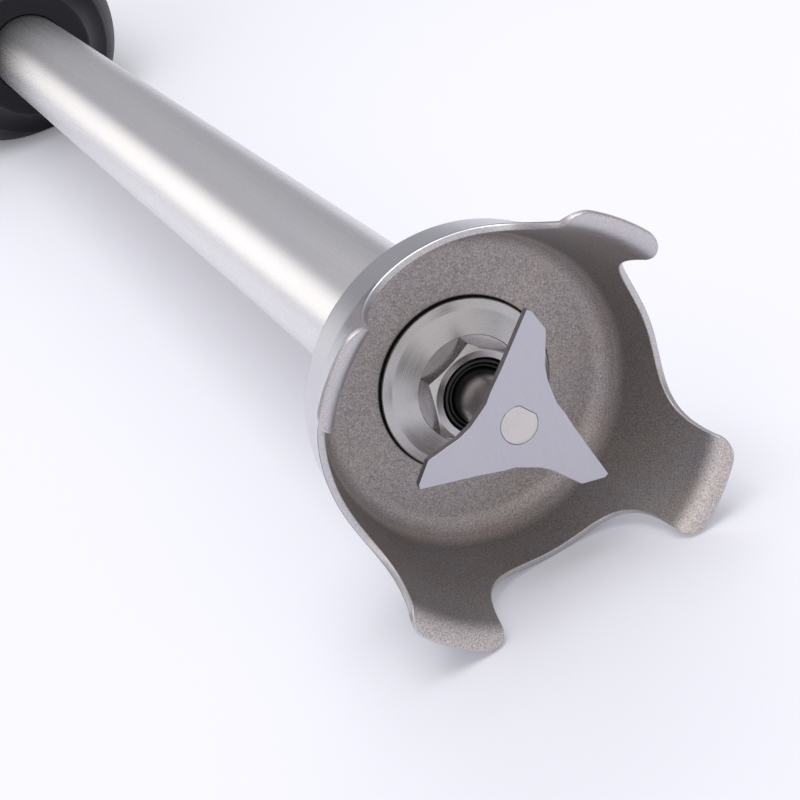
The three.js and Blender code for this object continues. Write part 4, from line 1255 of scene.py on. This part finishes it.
def lock_button():
    """A domed button with a collar that keeps it in, and a stub that carries its spring."""
    radius = LOCK["radius"]
    collar_radius, collar_start, collar_end = radius + 1.6, -16.6, -14.6
    stub_radius, stub_end = 2.2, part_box("lock_button")[1].x / MM
    profile = rounded([
        (0, -25.5),
        (3, -25.35),
        (radius, -24.9),
        (radius, collar_start),
        (collar_radius, collar_start),
        (collar_radius, collar_end),
        (stub_radius, collar_end),
        (stub_radius, stub_end),
        (0, stub_end),
    ], [0, 3, 0.7, 0, 0.3, 0.3, 0, 0.3, 0], closed=False)
    return piece("lock_button", laid_across(turned(profile, 64, closed=False), LOCK["u"], LOCK["h"]))


def coil(radius, wire, length, turns):
    """A coil spring along the shaft's direction, from u = 0 to its length."""
    around, sides = turns * 28, 10
    points = []
    for step in range(around + 1):
        share = step / around
        turn = 2 * math.pi * turns * share
        for side in range(sides):
            angle = 2 * math.pi * side / sides
            reach = radius + wire * math.cos(angle)
            points.append(round_axis(reach, turn, length * share + wire * math.sin(angle)))
    return points, capped_grid(around + 1, sides)


def springs():
    """The springs under the trigger and behind the lock button, each with a mesh of its own."""
    radius, turns = 3, 4
    place, wire, length = 640, 0.42, 9
    bottom = (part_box("trigger_spring")[0].z - AXIS_HEIGHT) / MM
    upright = turned_to_z(coil(radius, wire, length, turns))
    made = piece("trigger_spring", moved(upright, u=place, h=bottom + wire))
    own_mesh(made)

    wire = 0.38
    start, end = [corner.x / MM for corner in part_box("lock_spring")]
    shape = coil(radius, wire, end - start - 2 * wire, turns)
    made = piece("lock_spring", laid_across(shape, LOCK["u"], LOCK["h"], x=start + wire))
    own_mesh(made)


def housing_screws():
    """Pan heads with a cross recess, in the right shell's counterbores."""
    shank, head, tip = 1.5, 3, -8
    long_way, short_way, deep = (-1.7, 1.7), (-0.35, 0.35), (SCREW_SEAT + 1.2, SCREW_SEAT + 4)
    profile = rounded([
        (0, tip),
        (shank, tip),
        (shank, SCREW_SEAT + 0.3),
        (head, SCREW_SEAT + 0.3),
        (head, SCREW_SEAT + 1.6),
        (1.8, SCREW_SEAT + 2.4),
        (0, SCREW_SEAT + 2.5),
    ], [0, 0.3, 0, 0.2, 0.5, 0.8, 0], closed=False)
    for index, (u, h) in enumerate(SCREW_PLACES):
        node = f"housing_screw_{index + 1}"
        screw = make_object(f"{node}_surface", turned_to_x(turned(profile, 40, closed=False)))
        cut(screw, box_shape(deep, long_way, short_way), box_shape(deep, short_way, long_way))
        screw.data.transform(Matrix.Translation((0, u * MM, h * MM)))
        finished(screw, node, sharp=32)


# ---------------------------------------------------------------- build

bell_guard()
seal_nut()
lip_seal()
blade()
drive_shaft()
shaft_tube()
nose_collar()
housing()
rear_cap()
cord_gland()
hanging_ring()
trigger()
speed_dial()
lock_button()
springs()
housing_screws()

for name, carried in frame["nodes"].items():
    carried.data.materials.clear()
    carried.data.materials.append(MATERIALS[SLOT_OF[name]])

# ---------------------------------------------------------------- floor, light and camera

FLOOR_HALF = 6
CAMERA_LENS = 90.521
CAMERA_SENSOR = 36
CAMERA_PLACE = (-75.453, -315.468, 149.434)
CAMERA_FORWARD = Vector((0.17974, 0.89257, -0.41354))
CAMERA_UP = Vector((0.47112, 0.29094, 0.83271))


def pale_floor():
    """A pale floor that glows a little, as if light came through it."""
    look = Look("floor_white", Roughness=0.55, Emission_Strength=0.22)
    drift = look.noise(look.stretched((400, 400, 400)), detail=2.0)
    tone = look.blend(look.spread(drift, 0, 1), (0.62, 0.62, 0.665), (0.635, 0.635, 0.68))
    look.use("Base Color", tone)
    look.use("Emission Color", tone)
    mesh = bpy.data.meshes.new("floor")
    corners = [(x * FLOOR_HALF, y * FLOOR_HALF, 0) for x, y in ((-1, -1), (1, -1), (1, 1), (-1, 1))]
    mesh.from_pydata(corners, [], [(0, 1, 2, 3)])
    mesh.materials.append(look.material)
    in_scene("floor", mesh)


def soft_light(name, place, target, size, power, colour=(1, 1, 1), mirrored=True):
    """A soft box aimed at a target. An unmirrored one doesn't show in shiny surfaces."""
    lamp = bpy.data.lights.new(name, "AREA")
    lamp.shape = "RECTANGLE"
    lamp.size, lamp.size_y = size
    lamp.energy = power
    lamp.color = colour
    made = in_scene(name, lamp)
    made.location = place
    made.visible_glossy = mirrored
    made.rotation_mode = "QUATERNION"
    made.rotation_quaternion = (Vector(target) - Vector(place)).to_track_quat("-Z", "Y")


def studio_air():
    """Pale light from above, with brighter patches behind, in front and at one side.

    A narrow patch low down in front is darker. Each patch is laid over the ones before it, and the
    camera itself sees one even tone.
    """
    world = bpy.data.worlds.new("studio")
    world.use_nodes = True
    bpy.context.scene.world = world
    tree = world.node_tree
    direction = add_node(tree, "ShaderNodeTexCoord", {}).outputs["Generated"]

    def patch(towards, inner, outer):
        """1 within the inner angle of a direction, falling to 0 at the outer one, in degrees."""
        inputs = {0: direction, 1: Vector(towards).normalized()}
        dot = add_node(tree, "ShaderNodeVectorMath", inputs, operation="DOT_PRODUCT")
        inputs = {
            "Value": dot.outputs["Value"],
            "From Min": math.cos(math.radians(outer)),
            "From Max": math.cos(math.radians(inner)),
        }
        fall = add_node(tree, "ShaderNodeMapRange", inputs, interpolation_type="SMOOTHSTEP")
        return fall.outputs[0]

    patches = (
        ((0, 0.2, 1), 20, 75, (0.75, 0.75, 0.79)),
        ((-0.36, 0.93, 0.15), 4, 16, (1.6, 1.57, 1.54)),
        ((0.1, -0.95, 0.2), 15, 50, (0.92, 0.91, 0.92)),
        ((-0.75, -0.5, 0.4), 8, 38, (1.2, 1.19, 1.22)),
        ((-0.27, -0.96, 0.05), 4.5, 15, (0.2, 0.19, 0.19)),
    )
    air = (0.40, 0.40, 0.43)
    for towards, inner, outer, colour in patches:
        air = mixed(tree, patch(towards, inner, outer), air, colour)
    seen = add_node(tree, "ShaderNodeLightPath", {}).outputs["Is Camera Ray"]
    shown = mixed(tree, seen, air, (0.9, 0.9, 0.93))
    background = tree.nodes["Background"]
    background.inputs["Strength"].default_value = 1.0
    tree.links.new(shown, background.inputs["Color"])


def camera():
    """The camera, set from its place and its two directions."""
    data = bpy.data.cameras.new("camera")
    data.lens = CAMERA_LENS
    data.sensor_width = CAMERA_SENSOR
    data.clip_start = 0.01
    data.clip_end = 50
    right = CAMERA_FORWARD.cross(CAMERA_UP).normalized()
    up = right.cross(CAMERA_FORWARD).normalized()
    turn = Matrix((right, up, -CAMERA_FORWARD.normalized())).transposed()
    made = in_scene("camera", data)
    made.matrix_world = Matrix.Translation(at(*CAMERA_PLACE)) @ turn.to_4x4()
    bpy.context.scene.camera = made


pale_floor()
studio_air()
soft_light("top", place=(0.0, -0.45, 1.2), target=(0, -0.35, 0), size=(0.9, 0.9), power=8.5)
soft_light(
    "back",
    place=(0.55, 0.9, 0.85),
    target=(0.1, -0.2, 0),
    size=(1.0, 0.7),
    power=5.5,
    colour=(1.0, 0.985, 0.97),
    mirrored=False,
)
camera()
bpy.context.scene.view_settings.view_transform = "Standard"
